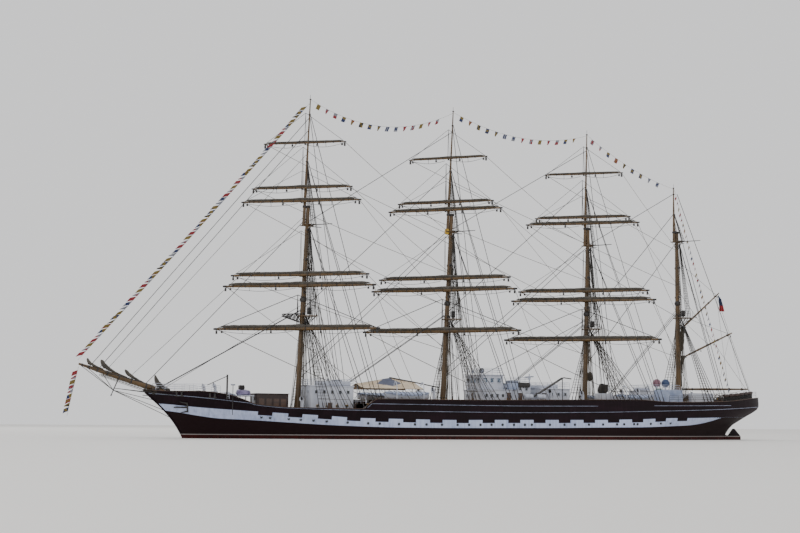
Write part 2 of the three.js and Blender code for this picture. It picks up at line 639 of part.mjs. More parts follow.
function radomeSolid() {
  const roofZ = poopHouse.roofZ + gap;
  const places = [-38.3, -40];
  const domes = places.map((x) => {
    const dome = new THREE.SphereGeometry(0.55, 12, 8);
    dome.translate(x, 0, roofZ + 1.15);
    return solidOf(dome);
  });
  const posts = places.map((x) => spar([x, 0, roofZ], [x, 0, roofZ + 0.9], [0.12, 0.12], 8));
  const plinth = block([places[1] - 0.2, -0.2, roofZ], [places[0] + 0.2, 0.2, roofZ + 0.1]);
  return joined(...domes, ...posts, plinth);
}
addPiece('radomes', radomeSolid(), 'whitePaint');

// Anchors, stowed against the bow plating: drawn flat, shank forward, then leaned to the side
function anchorSolid(side) {
  const [x, z] = [41.6, 4.3];
  const [shankLength, armSpan, thickness] = [1.9, 1.5, 0.11];
  const shank = spar([-0.6, 0, 0], [shankLength - 0.6, 0, 0], [0.12, 0.09], 8);
  const crown = spar([-0.6, 0, -armSpan / 2], [-0.6, 0, armSpan / 2], [thickness, thickness], 8);
  const flukes = [1, -1].map((end) => spar(
    [-0.6, 0, (end * armSpan) / 2.4],
    [0.45, 0, (end * armSpan) / 1.7],
    [0.12, 0.04],
    8,
  ));
  const reach = 1;
  const planAngle = Math.atan2(sideAt(x + reach, z) - sideAt(x - reach, z), reach * 2);
  const flare = Math.atan2(sideAt(x, z + reach / 2) - sideAt(x, z - reach / 2), reach);
  const inward = (planAngle * 180) / Math.PI;
  const leaned = joined(shank, crown, ...flukes)
    .rotate([(-flare * 180) / Math.PI, 0, 0])
    .rotate([0, 0, inward])
    .translate([x, sideAt(x, z) + thickness + 0.03, z]);
  const stowed = leaned.subtract(envelope.scale([1, 1 + gap / sideAt(x, z), 1]));
  return side > 0 ? stowed : stowed.mirror([0, 1, 0]);
}
addPiece('anchor_port', anchorSolid(1), 'darkSteel');
addPiece('anchor_starboard', anchorSolid(-1), 'darkSteel');

// Main stays: straight wires between two faces, each end just clear of its face

const stayRadius = 0.03;

function staySolid(start, startNormal, end, endNormal) {
  const [a, b] = [new THREE.Vector3(...start), new THREE.Vector3(...end)];
  const along = b.clone().sub(a).normalize();
  const inset = (normal, sign) => {
    const slant = along.dot(new THREE.Vector3(...normal).normalize()) * sign;
    return (gap + stayRadius * Math.sqrt(1 - slant * slant)) / slant;
  };
  a.addScaledVector(along, inset(startNormal, 1));
  b.addScaledVector(along, -inset(endNormal, -1));
  return spar(a.toArray(), b.toArray(), [stayRadius, stayRadius], 6);
}

const forward = [1, 0, 0];
const upward = [0, 0, 1];
const bowspritNormal = [-bowsprit.slope, 0, 1];
const bowspritTaper = bowsprit.taper.map((share, i, all) => [
  bowsprit.heelX + ((bowsprit.tipX - bowsprit.heelX) * i) / (all.length - 1),
  share,
]).reverse();
const bowspritTop = (x) => [x, 0, bowspritZ(x) + bowspritHalfDepth * readTable(bowspritTaper, x)];
const frontOfLower = (mast, z) => [mastX(mast, z) + lowerRadiusAt(mast, z), 0, z];
const frontOfUpper = (mast, z) => [upperMastX(mast, z) + upperRadiusAt(mast, z), 0, z];

const { fore, main, mizzen, jigger } = masts;
const stays = {
  fore_stay: [frontOfLower(fore, 19.4), bowspritTop(44.2)],
  fore_topmast_stay: [frontOfUpper(fore, 32.4), bowspritTop(49)],
  fore_topgallant_stay: [frontOfUpper(fore, 42), bowspritTop(52.2)],
  main_stay: [frontOfLower(main, 19.8), [17.4, 0, 7.8]],
  mizzen_stay: [frontOfLower(mizzen, 19.2), [-11.2, 0, chartHouse.roofZ]],
};
for (const [name, [start, end]] of Object.entries(stays)) {
  const footNormal = name.startsWith('fore') ? bowspritNormal : upward;
  addPiece(name, staySolid(start, forward, end, footNormal), 'darkSteel');
}
addPiece('jigger_stay', staySolid(frontOfLower(jigger, 21.4), forward, [-27.2, 0, deckAt(-27.2)], upward), 'darkSteel');

ship.scale.setScalar(millimetresPerShipMetre);
export default ship;
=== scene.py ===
# A four-masted barque as a 1:10 model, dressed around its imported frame.
# Sizes are in metres of the full-size ship, and newPiece brings each finished mesh to the model's scale.
import bisect
import random
from math import copysign, cos, exp, pi, radians, sin, sqrt, tan, tau

import bmesh
import bpy
from mathutils import Matrix, Vector, noise


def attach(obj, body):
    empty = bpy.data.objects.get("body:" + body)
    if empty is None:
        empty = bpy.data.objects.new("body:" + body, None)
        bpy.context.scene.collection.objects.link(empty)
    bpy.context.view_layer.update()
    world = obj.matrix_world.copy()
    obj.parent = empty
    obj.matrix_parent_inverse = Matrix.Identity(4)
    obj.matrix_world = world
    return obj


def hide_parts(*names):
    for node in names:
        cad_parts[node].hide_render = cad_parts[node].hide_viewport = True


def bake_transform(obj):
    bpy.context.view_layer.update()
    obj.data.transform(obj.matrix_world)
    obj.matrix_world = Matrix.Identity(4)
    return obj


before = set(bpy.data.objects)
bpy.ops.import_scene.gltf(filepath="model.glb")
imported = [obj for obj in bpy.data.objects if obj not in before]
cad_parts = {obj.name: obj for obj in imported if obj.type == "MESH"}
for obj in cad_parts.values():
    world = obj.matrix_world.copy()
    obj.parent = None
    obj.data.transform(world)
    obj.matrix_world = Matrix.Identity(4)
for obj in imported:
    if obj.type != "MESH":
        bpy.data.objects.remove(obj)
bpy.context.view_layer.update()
modelScale = 0.1
scene = bpy.context.scene
ops = bmesh.ops
upward = Vector((0, 0, 1))
print("frame loaded:", len(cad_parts), "nodes")


# Camera at the photograph's place, looking at the port side from ahead of the beam

photoView = {
    "place": (91.70, 189.776, 2.55),
    "right": (-0.91456, 0.40438, 0.00815),
    "up": (0.05291, 0.09963, 0.99362),
    "look": (-0.40098, -0.90915, 0.11251),
    "lens": 61.7,
    "sensor": 36.0,
}
cameraData = bpy.data.cameras.new("photoCamera")
cameraData.lens = photoView["lens"]
cameraData.sensor_width = photoView["sensor"]
cameraData.clip_end = 500
camera = bpy.data.objects.new("photoCamera", cameraData)
scene.collection.objects.link(camera)
cameraTurn = Matrix((photoView["right"], photoView["up"], -Vector(photoView["look"]))).transposed()
camera.matrix_world = Matrix.Translation(Vector(photoView["place"]) * modelScale) @ cameraTurn.to_4x4()
scene.camera = camera


# Shader maths

class Wire:  # one output of a node, with maths on it
    def __init__(self, tree, socket):
        self.tree = tree
        self.socket = socket

    def node(self, kind, settings=None, inputs=None, output=0):
        made = self.tree.nodes.new(kind)
        for key, value in (settings or {}).items():
            if key == "stops":
                fillRamp(made.color_ramp, value)
            else:
                setattr(made, key, value)
        for key, value in (inputs or {}).items():
            if isinstance(value, Wire):
                self.tree.links.new(value.socket, made.inputs[key])
            else:
                made.inputs[key].default_value = value
        return Wire(self.tree, made.outputs[output])

    def maths(self, operation, first, second):
        return self.node("ShaderNodeMath", {"operation": operation}, {0: first, 1: second})

    def __add__(self, other):
        return self.maths("ADD", self, other)

    def __sub__(self, other):
        return self.maths("SUBTRACT", self, other)

    def __rsub__(self, other):
        return self.maths("SUBTRACT", other, self)

    def __mul__(self, other):
        return self.maths("MULTIPLY", self, other)

    def __mod__(self, other):
        return self.maths("FLOORED_MODULO", self, other)

    __radd__ = __add__
    __rmul__ = __mul__


def fillRamp(ramp, stops):
    while len(ramp.elements) < len(stops):
        ramp.elements.new(1.0)
    for element, (place, shade) in zip(ramp.elements, stops):
        element.position = place
        element.color = shade


def tone(hexText, share=1.0):  # a screen colour as the linear one that a shader takes
    levels = [int(hexText[i:i + 2], 16) / 255 for i in (0, 2, 4)]
    return (*[(p / 12.92 if p < 0.04045 else ((p + 0.055) / 1.055) ** 2.4) * share for p in levels], 1.0)


def above(value, edge, soft):  # 0 below the edge, 1 above it
    limits = {"Value": value, "From Min": edge - soft, "From Max": edge + soft}
    return value.node("ShaderNodeMapRange", {"interpolation_type": "SMOOTHSTEP"}, limits)


def between(value, low, high, soft):
    return above(value, low, soft) * (1 - above(value, high, soft))


def mottle(place, scale, stretch=(1, 1, 1), detail=4.0, rough=0.55):
    moved = place.node("ShaderNodeMapping", {}, {"Vector": place, "Scale": stretch})
    inputs = {"Vector": moved, "Scale": scale, "Detail": detail, "Roughness": rough}
    return moved.node("ShaderNodeTexNoise", {}, inputs)


def mixed(share, first, second):
    return share.node("ShaderNodeMix", {"data_type": "RGBA"}, {0: share, 6: first, 7: second}, 2)


def parts(vector):  # x, y and z of a vector
    made = vector.node("ShaderNodeSeparateXYZ", {}, {0: vector})
    node = made.socket.node
    return [Wire(vector.tree, node.outputs[i]) for i in range(3)]


class Finish:  # a principled material, and what feeds it
    def __init__(self, name, **fixed):
        self.material = bpy.data.materials.new(name)
        self.material.use_nodes = True
        self.tree = self.material.node_tree
        self.shader = self.tree.nodes["Principled BSDF"]
        for key, value in fixed.items():
            self.shader.inputs[key.replace("_", " ")].default_value = value
        seed = Wire(self.tree, None)
        self.place = seed.node("ShaderNodeTexCoord", output="Object")

    def feed(self, socketName, wire):
        self.tree.links.new(wire.socket, self.shader.inputs[socketName])

    def bump(self, height, strength=0.4, distance=0.002):
        inputs = {"Height": height, "Strength": strength, "Distance": distance}
        self.feed("Normal", height.node("ShaderNodeBump", {}, inputs))

    def uv(self, layer):
        return self.place.node("ShaderNodeUVMap", {"uv_map": layer})


# Finishes

def weathered(name, light, dark, rough, scale, stretch=(1, 1, 1), bump=0.15, metal=0.0, coat=0.0):
    finish = Finish(name, Metallic=metal, Coat_Weight=coat)
    cloud = mottle(finish.place, scale, stretch)
    fine = mottle(finish.place, scale * 7, stretch)
    finish.feed("Base Color", mixed(above(cloud, 0.52, 0.18), tone(light), tone(dark)))
    finish.feed("Roughness", fine * 0.3 + (rough - 0.15))
    finish.bump(fine, bump, 0.001)
    return finish.material


hullPaintLook = {
    "black": tone("150a0f"), "blackWorn": tone("21121a"), "low": tone("1a0b0d"), "band": tone("bcc6e2"),
    "bandDull": tone("9ba7c8"), "boot": tone("3d1512"), "bootDull": tone("26100e"), "line": tone("96918f"),
    "rust": tone("6b3a22"), "bootTop": 0.52, "lineTop": 0.62,
    "notchWide": 0.48, "notchCount": 16.48, "notchFloor": 0.61, "strake": 0.9, "plateLength": 6.5,
}


def hullPaint(name, banded):
    look = hullPaintLook
    finish = Finish(name, Specular_IOR_Level=0.12)
    along, height = [parts(finish.place)[i] * 10.0 for i in (0, 2)]
    cloud = mottle(finish.place, 2.6, (0.6, 0.6, 2.0))
    streak = mottle(finish.place, 9.0, (3.0, 3.0, 0.16))
    sides = mixed(above(cloud + streak * 0.5, 0.82, 0.2), look["black"], look["blackWorn"])
    if banded:
        notch, level = parts(finish.uv("paint"))[:2]  # u counts the notches, v runs 0 to 1 over the band
        white = mixed(above(cloud * 0.6 + streak * 0.6, 0.66, 0.16), look["band"], look["bandDull"])
        white = mixed(above(streak, 0.7, 0.08) * 0.2, white, look["rust"])
        inNotch = between(notch % 1.0, 0.0, look["notchWide"], 0.008) * above(level, look["notchFloor"], 0.03)
        inNotch = inNotch * between(notch, -0.02, look["notchCount"], 0.01)
        sides = mixed(above(level, 0.5, 0.3), look["low"], sides)
        sides = mixed(between(level, 0.0, 1.0, 0.03) * (1 - inNotch), sides, white)
    boot = mixed(above(cloud * 0.5 + streak * 0.6, 0.56, 0.14), look["boot"], look["bootDull"])
    painted = mixed(above(height, look["bootTop"], 0.01), boot, look["line"])
    painted = mixed(above(height, look["lineTop"], 0.01), painted, sides)
    finish.feed("Base Color", painted)
    finish.feed("Roughness", cloud * 0.3 + 0.4)
    plates = finish.place.node("ShaderNodeCombineXYZ", {}, {0: along, 1: height})
    seams = plates.node(
        "ShaderNodeTexBrick", {"offset": 0.5},
        {"Vector": plates, "Scale": 1.0, "Mortar Size": 0.02, "Mortar Smooth": 0.4,
            "Brick Width": look["plateLength"], "Row Height": look["strake"]}, 1)
    finish.bump((1 - seams) * 0.6 + mottle(finish.place, 1.1) * 0.5, 0.5, 0.004)
    return finish.material


def sparPaint():
    finish = Finish("sparPaint", Coat_Weight=0.15, Coat_Roughness=0.3)
    cloud = mottle(finish.place, 6.0, (1, 1, 0.5))
    streak = mottle(finish.place, 26.0, (2, 2, 0.2))
    buff = mixed(above(cloud, 0.5, 0.2), tone("604620"), tone("473418"))
    buff = mixed(above(streak, 0.62, 0.12) * 0.5, buff, tone("2c2112"))
    finish.feed("Base Color", buff)
    finish.feed("Roughness", streak * 0.3 + 0.3)
    finish.bump(streak, 0.15, 0.001)
    return finish.material


deckLook = {"plank": 0.16, "length": 6.0, "light": tone("a98f66"), "dark": tone("84693f"),
    "caulk": tone("2a221a")}


def deckPlanks():
    look = deckLook
    finish = Finish("deckPlanks")
    laid = finish.place.node("ShaderNodeMapping", {}, {"Vector": finish.place, "Scale": (10, 10, 10)})
    bricks = {"Vector": laid, "Scale": 1.0, "Mortar Size": 0.012, "Mortar Smooth": 0.1, "Bias": 0.0,
        "Brick Width": look["length"], "Row Height": look["plank"],
        "Color1": look["light"], "Color2": look["dark"], "Mortar": look["caulk"]}
    boards = laid.node("ShaderNodeTexBrick", {"offset": 0.37}, bricks)
    grain = mottle(finish.place, 40.0, (0.2, 3.0, 1.0))
    cloud = mottle(finish.place, 3.0)
    finish.feed("Base Color", mixed(above(cloud, 0.55, 0.2) * 0.4, boards, look["dark"]))
    finish.feed("Roughness", grain * 0.3 + 0.5)
    seam = Wire(finish.tree, boards.socket.node.outputs[1])
    finish.bump((1 - seam) + grain * 0.2, 0.4, 0.002)
    return finish.material


def whitePaint():
    finish = Finish("whitePaint", Coat_Weight=0.1)
    cloud = mottle(finish.place, 5.0)
    streak = mottle(finish.place, 22.0, (2.2, 2.2, 0.25))
    colour = mixed(above(cloud, 0.5, 0.2), tone("c9cdd8"), tone("b3b8c6"))
    colour = mixed(above(streak, 0.66, 0.08) * 0.5, colour, tone("7b6a5c"))
    finish.feed("Base Color", colour)
    finish.feed("Roughness", cloud * 0.25 + 0.35)
    finish.bump(streak, 0.12, 0.001)
    return finish.material


def clothFinish(name, light, dark, fold=18.0):
    finish = Finish(name, Sheen_Weight=0.25)
    cloud = mottle(finish.place, fold)
    wave = {"Vector": finish.place, "Scale": 150.0, "Distortion": 1.5}
    threads = finish.place.node("ShaderNodeTexWave", {"bands_direction": "Z"}, wave, 1)
    finish.feed("Base Color", mixed(above(cloud, 0.5, 0.25), tone(light), tone(dark)))
    finish.feed("Roughness", cloud * 0.2 + 0.75)
    finish.bump(cloud * 0.8 + threads * 0.12, 0.5, 0.003)
    return finish.material


def ropeFinish(name, light, dark, rough):
    finish = Finish(name)
    twist = {"Vector": finish.place, "Scale": 60.0, "Distortion": 0.5}
    strands = finish.place.node("ShaderNodeTexWave", {"bands_direction": "DIAGONAL"}, twist, 1)
    finish.feed("Base Color", mixed(strands * 0.6 + mottle(finish.place, 9.0) * 0.4, tone(light), tone(dark)))
    finish.feed("Roughness", strands * 0.2 + rough)
    finish.bump(strands, 0.3, 0.001)
    return finish.material


def flagFinish():
    finish = Finish("flagCloth", Sheen_Weight=0.3)
    colours = finish.place.node("ShaderNodeAttribute", {"attribute_name": "bunting"})
    threads = mottle(finish.place, 400.0)
    finish.feed("Base Color", colours)
    finish.feed("Roughness", threads * 0.2 + 0.7)
    finish.bump(threads, 0.2, 0.001)
    return finish.material


finishes = {
    "hull": hullPaint("hullPaint", True),
    "keel": hullPaint("keelPaint", False),
    "spar": sparPaint(),
    "deck": deckPlanks(),
    "white": whitePaint(),
    # the furled sails take a dark canvas tone that paints in the shade of backlit sails; the real canvas is
    # light
    "sail": clothFinish("sailCanvasPaintedShade", "4f4a42", "332f2a"),
    "awning": clothFinish("awningCanvas", "d8c6ab", "bfa98a", 7.0),
    "cover": clothFinish("boatCover", "a9b4cc", "8391b0", 10.0),
    # a darker blue-grey cloth that paints the shade on the awning's facet next to its peak
    "paintedShadePatch": clothFinish("shadePatchCanvas", "4e5670", "3a4058"),
    "dark": clothFinish("darkCanvas", "2b2624", "1a1716"),
    "wire": ropeFinish("wireRope", "2b2825", "141211", 0.45),
    "rope": ropeFinish("manilaRope", "4d4334", "2f2a22", 0.7),
    # the pale mouldings: moulding paint together with a painted highlight of the sky's glint along them
    "moulding": weathered("mouldingPaintAndGlint", "8f97ad", "6d7487", 0.5, 12.0),
    "iron": weathered("blackIron", "1d1b1c", "2f2a27", 0.5, 12.0, coat=0.1),
    "teak": weathered("teakTrim", "4a2f1e", "331f14", 0.45, 9.0, (0.3, 2.0, 2.0), coat=0.25),
    "brown": weathered("brownPaint", "2f1b16", "23130f", 0.5, 7.0),
    "bronze": weathered("propellerBronze", "a8804a", "6e5a34", 0.35, 14.0, metal=0.9),
    "brass": weathered("brassTrim", "c09a4e", "8f7034", 0.3, 20.0, metal=0.9),
    "yellow": weathered("yellowPaint", "b8932c", "8f6f1e", 0.45, 9.0),
    "green": weathered("greenPaint", "3c7a4a", "2c5e38", 0.5, 9.0),
    "purple": clothFinish("purpleCover", "8f86a8", "6e6686", 9.0),
    "grey": weathered("greyPaint", "7d8494", "646a7a", 0.45, 8.0),
    "pane": Finish("clearPane", Base_Color=tone("7f93a8"), Roughness=0.1, Alpha=0.3).material,
    "glass": weathered("darkGlass", "1c2836", "10181f", 0.2, 4.0, bump=0.02, coat=0.6),
    "mauve": weathered("mauveDome", "8d6470", "775462", 0.4, 6.0),
    "blue": weathered("blueDome", "33476a", "28385a", 0.4, 6.0),
    "flag": flagFinish(),
}
print("finishes made:", len(finishes))


# Mesh helpers

def spot(x, y, z):
    return Vector((x, y, z))


def facesOf(verts):
    return list(dict.fromkeys(face for vert in verts for face in vert.link_faces))


def edgesOf(verts):
    return list(dict.fromkeys(edge for vert in verts for edge in vert.link_edges))


def edgesWithin(verts):
    return [edge for edge in edgesOf(verts) if all(vert in verts for vert in edge.verts)]


def vertsIn(geom):
    return [item for item in geom if isinstance(item, bmesh.types.BMVert)]


def paintFaces(verts, finish):
    for face in facesOf(verts):
        face.material_index = finish


def addBox(bm, start, end, finish=0, soft=0.0):  # between any two opposite corners
    low, high = [Vector([pick(pair) for pair in zip(start, end)]) for pick in (min, max)]
    verts = ops.create_cube(bm, size=1)["verts"]
    ops.scale(bm, vec=high - low, verts=verts)
    ops.translate(bm, vec=(low + high) / 2, verts=verts)
    paintFaces(verts, finish)
    if soft:
        made = ops.bevel(bm, geom=edgesOf(verts), offset=soft, offset_type="OFFSET", segments=2, profile=0.5,
            affect="EDGES", material=-1, clamp_overlap=True)
        verts = list(dict.fromkeys(vert for face in made["faces"] for vert in face.verts))
    return verts


def aimed(start, end):  # a matrix whose Z runs from start towards end, with its origin at start
    run = Vector(end) - Vector(start)
    return Matrix.Translation(start) @ run.to_track_quat("Z", "Y").to_matrix().to_4x4()


def addRod(bm, start, end, radius, endRadius=None, sides=8, finish=0):
    length = (Vector(end) - Vector(start)).length
    matrix = aimed(start, end) @ Matrix.Translation((0, 0, length / 2))
    verts = ops.create_cone(bm, cap_ends=True, segments=sides, radius1=radius,
        radius2=radius if endRadius is None else endRadius, depth=length, matrix=matrix)["verts"]
    paintFaces(verts, finish)
    return verts


def addTurned(bm, start, end, profile, sides=16, finish=0):  # profile rows: metres along, radius
    verts = [bm.verts.new((radius, 0, along)) for along, radius in profile]
    edges = [bm.edges.new(pair) for pair in zip(verts, verts[1:])]
    ops.spin(bm, geom=verts + edges, cent=(0, 0, 0), axis=(0, 0, 1), angle=tau, steps=sides, use_merge=True)
    ring = connected(verts[0])
    ops.remove_doubles(bm, verts=ring, dist=1e-5)
    ring = [vert for vert in ring if vert.is_valid]
    ops.recalc_face_normals(bm, faces=facesOf(ring))
    ops.transform(bm, matrix=aimed(start, end), verts=ring)
    paintFaces(ring, finish)
    return ring


def addPost(bm, foot, profile, sides=16, finish=0):  # turned about an upright axis
    return addTurned(bm, foot, Vector(foot) + upward, profile, sides, finish)


def drum(low, high, radius, inner=0.0):  # the profile of a hoop, a collar or a short drum
    return [(low, inner), (low, radius), (high, radius), (high, inner)]


def connected(vert):
    found, edge = {vert: None}, [vert]
    while edge:
        other = [link.other_vert(v) for v in edge for link in v.link_edges]
        edge = list(dict.fromkeys(v for v in other if v not in found))
        found.update(dict.fromkeys(edge))
    return list(found)


def addMapped(bm, columns, rows, place, finish=0, thick=0.0):
    verts = ops.create_grid(bm, x_segments=columns, y_segments=rows, size=0.5)["verts"]
    for vert in verts:
        vert.co = place(vert.co.x + 0.5, vert.co.y + 0.5)
    paintFaces(verts, finish)
    if thick:
        ops.solidify(bm, geom=facesOf(verts), thickness=thick)
    return verts


def addRolled(bm, columns, rows, place, sides=60):  # a mapped tube with its seam closed and its ends filled
    verts = addMapped(bm, columns, rows, place)
    ops.remove_doubles(bm, verts=verts, dist=1e-4)
    ops.holes_fill(bm, edges=[edge for edge in bm.edges if edge.is_boundary], sides=sides)
    ops.recalc_face_normals(bm, faces=bm.faces)


def stampAll(bm, pattern, matrices):  # pattern: verts of one copy, which is deleted at the end
    geom = list(pattern) + edgesOf(pattern) + facesOf(pattern)
    for matrix in matrices:
        ops.transform(bm, matrix=matrix, verts=vertsIn(ops.duplicate(bm, geom=geom)["geom"]))
    ops.delete(bm, geom=list(pattern), context="VERTS")


def linkMesh(name, mesh, body, looks, crease=38):
    mesh.transform(Matrix.Scale(modelScale, 4))
    for look in looks:
        mesh.materials.append(finishes[look])
    mesh.shade_smooth()
    mesh.set_sharp_from_angle(angle=radians(crease))
    piece = bpy.data.objects.new(name, mesh)
    scene.collection.objects.link(piece)
    if body:
        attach(piece, body)
    return piece


def newPiece(name, bm, looks, stands=(), body="ship", crease=38):
    mesh = bpy.data.meshes.new(name)
    bm.to_mesh(mesh)
    bm.free()
    piece = linkMesh(name, mesh, body, looks, crease)
    if stands:
        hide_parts(*stands)
    return piece


def newRopes(name, lines, radius, look="wire", fine=0, body="ship"):
    curve = bpy.data.curves.new(name + "_run", "CURVE")
    curve.dimensions = "3D"
    curve.bevel_depth = radius
    curve.bevel_resolution = fine
    curve.use_fill_caps = True
    for line in lines:
        spline = curve.splines.new("POLY")
        spline.points.add(len(line) - 1)
        for point, at in zip(spline.points, line):
            point.co = (*at, 1)
    run = bpy.data.objects.new(name + "_run", curve)
    scene.collection.objects.link(run)
    bpy.context.view_layer.update()
    mesh = bpy.data.meshes.new_from_object(run.evaluated_get(bpy.context.evaluated_depsgraph_get()))
    mesh.name = name
    bpy.data.objects.remove(run)
    bpy.data.curves.remove(curve)
    mesh.materials.clear()
    return linkMesh(name, mesh, body, [look], 60)


def slack(start, end, drop, steps=10):  # a line between two points that hangs by drop at its middle
    start, end = Vector(start), Vector(end)
    shares = [i / steps for i in range(steps + 1)]
    return [start.lerp(end, t) - upward * (4 * drop * t * (1 - t)) for t in shares]


def readCurve(rows, at, column=1):  # rows rise in their first column, and the curve never overshoots them
    last = len(rows) - 1
    if at <= rows[0][0]:
        return rows[0][column]
    if at >= rows[last][0]:
        return rows[last][column]
    i = bisect.bisect_right(rows, at, key=lambda row: row[0]) - 1
    slopes = [(rows[j + 1][column] - rows[j][column]) / (rows[j + 1][0] - rows[j][0])
        for j in (max(i - 1, 0), i, min(i + 1, last - 1))]
    inward = [0 if a * b <= 0 else 2 * a * b / (a + b) for a, b in zip(slopes, slopes[1:])]
    width = rows[i + 1][0] - rows[i][0]
    t = (at - rows[i][0]) / width
    return (rows[i][column] * (1 + 2 * t) * (1 - t) ** 2 + inward[0] * width * t * (1 - t) ** 2
        + rows[i + 1][column] * t * t * (3 - 2 * t) + inward[1] * width * t * t * (t - 1))


# Hull form: z, x rows of the ends, and z, fullness, bow length, bow power, stern length, stern power

halfBeam = 7.0
stemLine = [(-6.8, 33), (-6.4, 36.2), (-5, 39), (-3, 40.2), (0, 41.1), (0.87, 41.53), (2.54, 42.65),
    (3.92, 43.9), (4.88, 44.92), (6.72, 47.09), (7.4, 47.85)]
sternLine = [(-6.8, -51.8), (0.5, -51.8), (2.2, -53), (3.49, -55.25), (5.54, -58.43), (7.4, -58.2)]
hullLevels = [
    (-6.5, 0.6, 58, 1.25, 56, 1.7), (-5.9, 0.86, 54, 1.2, 53, 1.6), (-5, 0.95, 50, 1.15, 49, 1.5),
    (-3.5, 0.99, 46, 1.1, 43, 1.35), (-1.5, 1, 42, 1.05, 36, 1.2), (0.5, 1, 39, 1, 29, 1),
    (2.2, 1, 36, 0.95, 26, 0.8), (3.49, 1, 34, 0.9, 25, 0.68), (5.54, 1, 31, 0.85, 24, 0.55),
    (7.4, 0.99, 28, 0.8, 24, 0.5)]
railTop = [(-60, 7.1), (-57.5, 7.05), (-46.8, 6.22), (-36, 6.0), (-30.3, 6.26), (-15.8, 6.06), (-2, 5.85),
    (14.9, 5.78), (16.4, 4.36), (26.3, 4.43), (32, 4.85), (33.5, 5.38), (36.2, 6.18), (40, 6.55),
    (43.8, 6.53), (47, 6.72), (50, 6.95)]
bandTop = [(-48.05, 3.73), (-46, 3.66), (-42.5, 3.55), (-36.1, 3.45), (-30.3, 3.24), (-23, 3.08),
    (-15.8, 3.02), (-5.5, 2.94), (2.8, 2.87), (10.9, 2.95), (17, 3.04), (22.9, 3.37), (28.5, 3.64),
    (36.7, 4.12), (40.7, 4.43), (43.3, 4.69), (45.9, 4.87)]
bandFoot = [(-48.05, 3.72), (-46.95, 3.43), (-45.2, 3.01), (-43, 2.62), (-40.8, 2.38), (-36.4, 2.19),
    (-30.4, 2.0), (-22.9, 1.92), (-15.8, 1.81), (-5.5, 1.75), (2.8, 1.7), (10.8, 1.73), (19.8, 1.95),
    (27, 2.32), (32.5, 2.63), (36.5, 2.8), (39.2, 3.13), (41.5, 3.52), (43.8, 3.85)]
deckLines = {
    "fore": [(36, 5.5), (40, 5.7), (45, 5.9), (50, 6.1)],
    "well": [(16, 3.12), (24, 3.16), (36, 3.35)],
    "bridge": [(-60, 6.05), (-48, 5.6), (-38, 5.35), (-24, 5.15), (-12, 5.05), (2, 5.02), (16, 5.12)],
}
shellMesh = {"stations": 150, "girths": 44, "floorShare": 0.1, "plate": 0.12, "crowd": 1.5}
notchRow = {"first": 31.57, "pitch": 4.196, "growth": 0.00828}  # the pitch grows towards the stern


def halfBreadth(x, z):
    ahead = min(max((readCurve(stemLine, z) - x) / readCurve(hullLevels, z, 2), 0), 1)
    abaft = min(max((x - readCurve(sternLine, z)) / readCurve(hullLevels, z, 4), 0), 1)
    bow = (1 - (1 - ahead) ** 2) ** readCurve(hullLevels, z, 3)
    stern = (1 - (1 - abaft) ** 2) ** readCurve(hullLevels, z, 5)
    return halfBeam * readCurve(hullLevels, z, 1) * bow * stern


def deckAt(x):
    name = "fore" if x >= 36 else "well" if x >= 16 else "bridge"
    return readCurve(deckLines[name], x)


def railAt(x):
    return readCurve(railTop, x)


def onSide(x, z, side, out=0.0):
    return spot(x, side * (halfBreadth(x, z) + out), z)


def notchPhase(x):
    pitch, growth = notchRow["pitch"], notchRow["growth"]
    return (sqrt(pitch ** 2 + 4 * growth * (notchRow["first"] - x)) - pitch) / (2 * growth)


def shellPoint(u, v):  # u from stern to stem, v over both sides from rail to rail
    side = 1 if v > 0.5 else -1
    girth = abs(2 * v - 1)
    share = 0.5 - 0.5 * cos(pi * u)
    floorShare = shellMesh["floorShare"]
    rise = max(girth - floorShare, 0) / (1 - floorShare)
    x, z = 0, -6.5
    for _ in range(4):
        x = readCurve(sternLine, z) + share * (readCurve(stemLine, z) - readCurve(sternLine, z))
        z = -6.5 + (railAt(x) + 6.5) * rise ** shellMesh["crowd"]
    breadth = halfBreadth(x, z) * min(girth / floorShare, 1)
    return spot(x, side * breadth, z)


def buildShell():
    bm = bmesh.new()
    verts = addMapped(bm, shellMesh["stations"], 2 * shellMesh["girths"], shellPoint)
    ops.remove_doubles(bm, verts=verts, dist=0.004)
    ops.recalc_face_normals(bm, faces=bm.faces)
    layer = bm.loops.layers.uv.new("paint")
    bandAt = {}
    for vert in bm.verts:
        low, high = readCurve(bandFoot, vert.co.x), readCurve(bandTop, vert.co.x)
        bandAt[vert] = (vert.co.z - low) / (high - low)
    for face in bm.faces:
        for loop in face.loops:
            loop[layer].uv = (notchPhase(loop.vert.co.x), bandAt[loop.vert])
    ops.solidify(bm, geom=list(bm.faces), thickness=shellMesh["plate"])
    return bm


shell = newPiece("hull_shell", buildShell(), ["hull"],
    ("hull", "fore_bulwark_port", "fore_bulwark_starboard", "aft_bulwark_port", "aft_bulwark_starboard"))
print("hull shell:", len(shell.data.polygons), "faces")

# Keel, bossings, gudgeons and stem bar

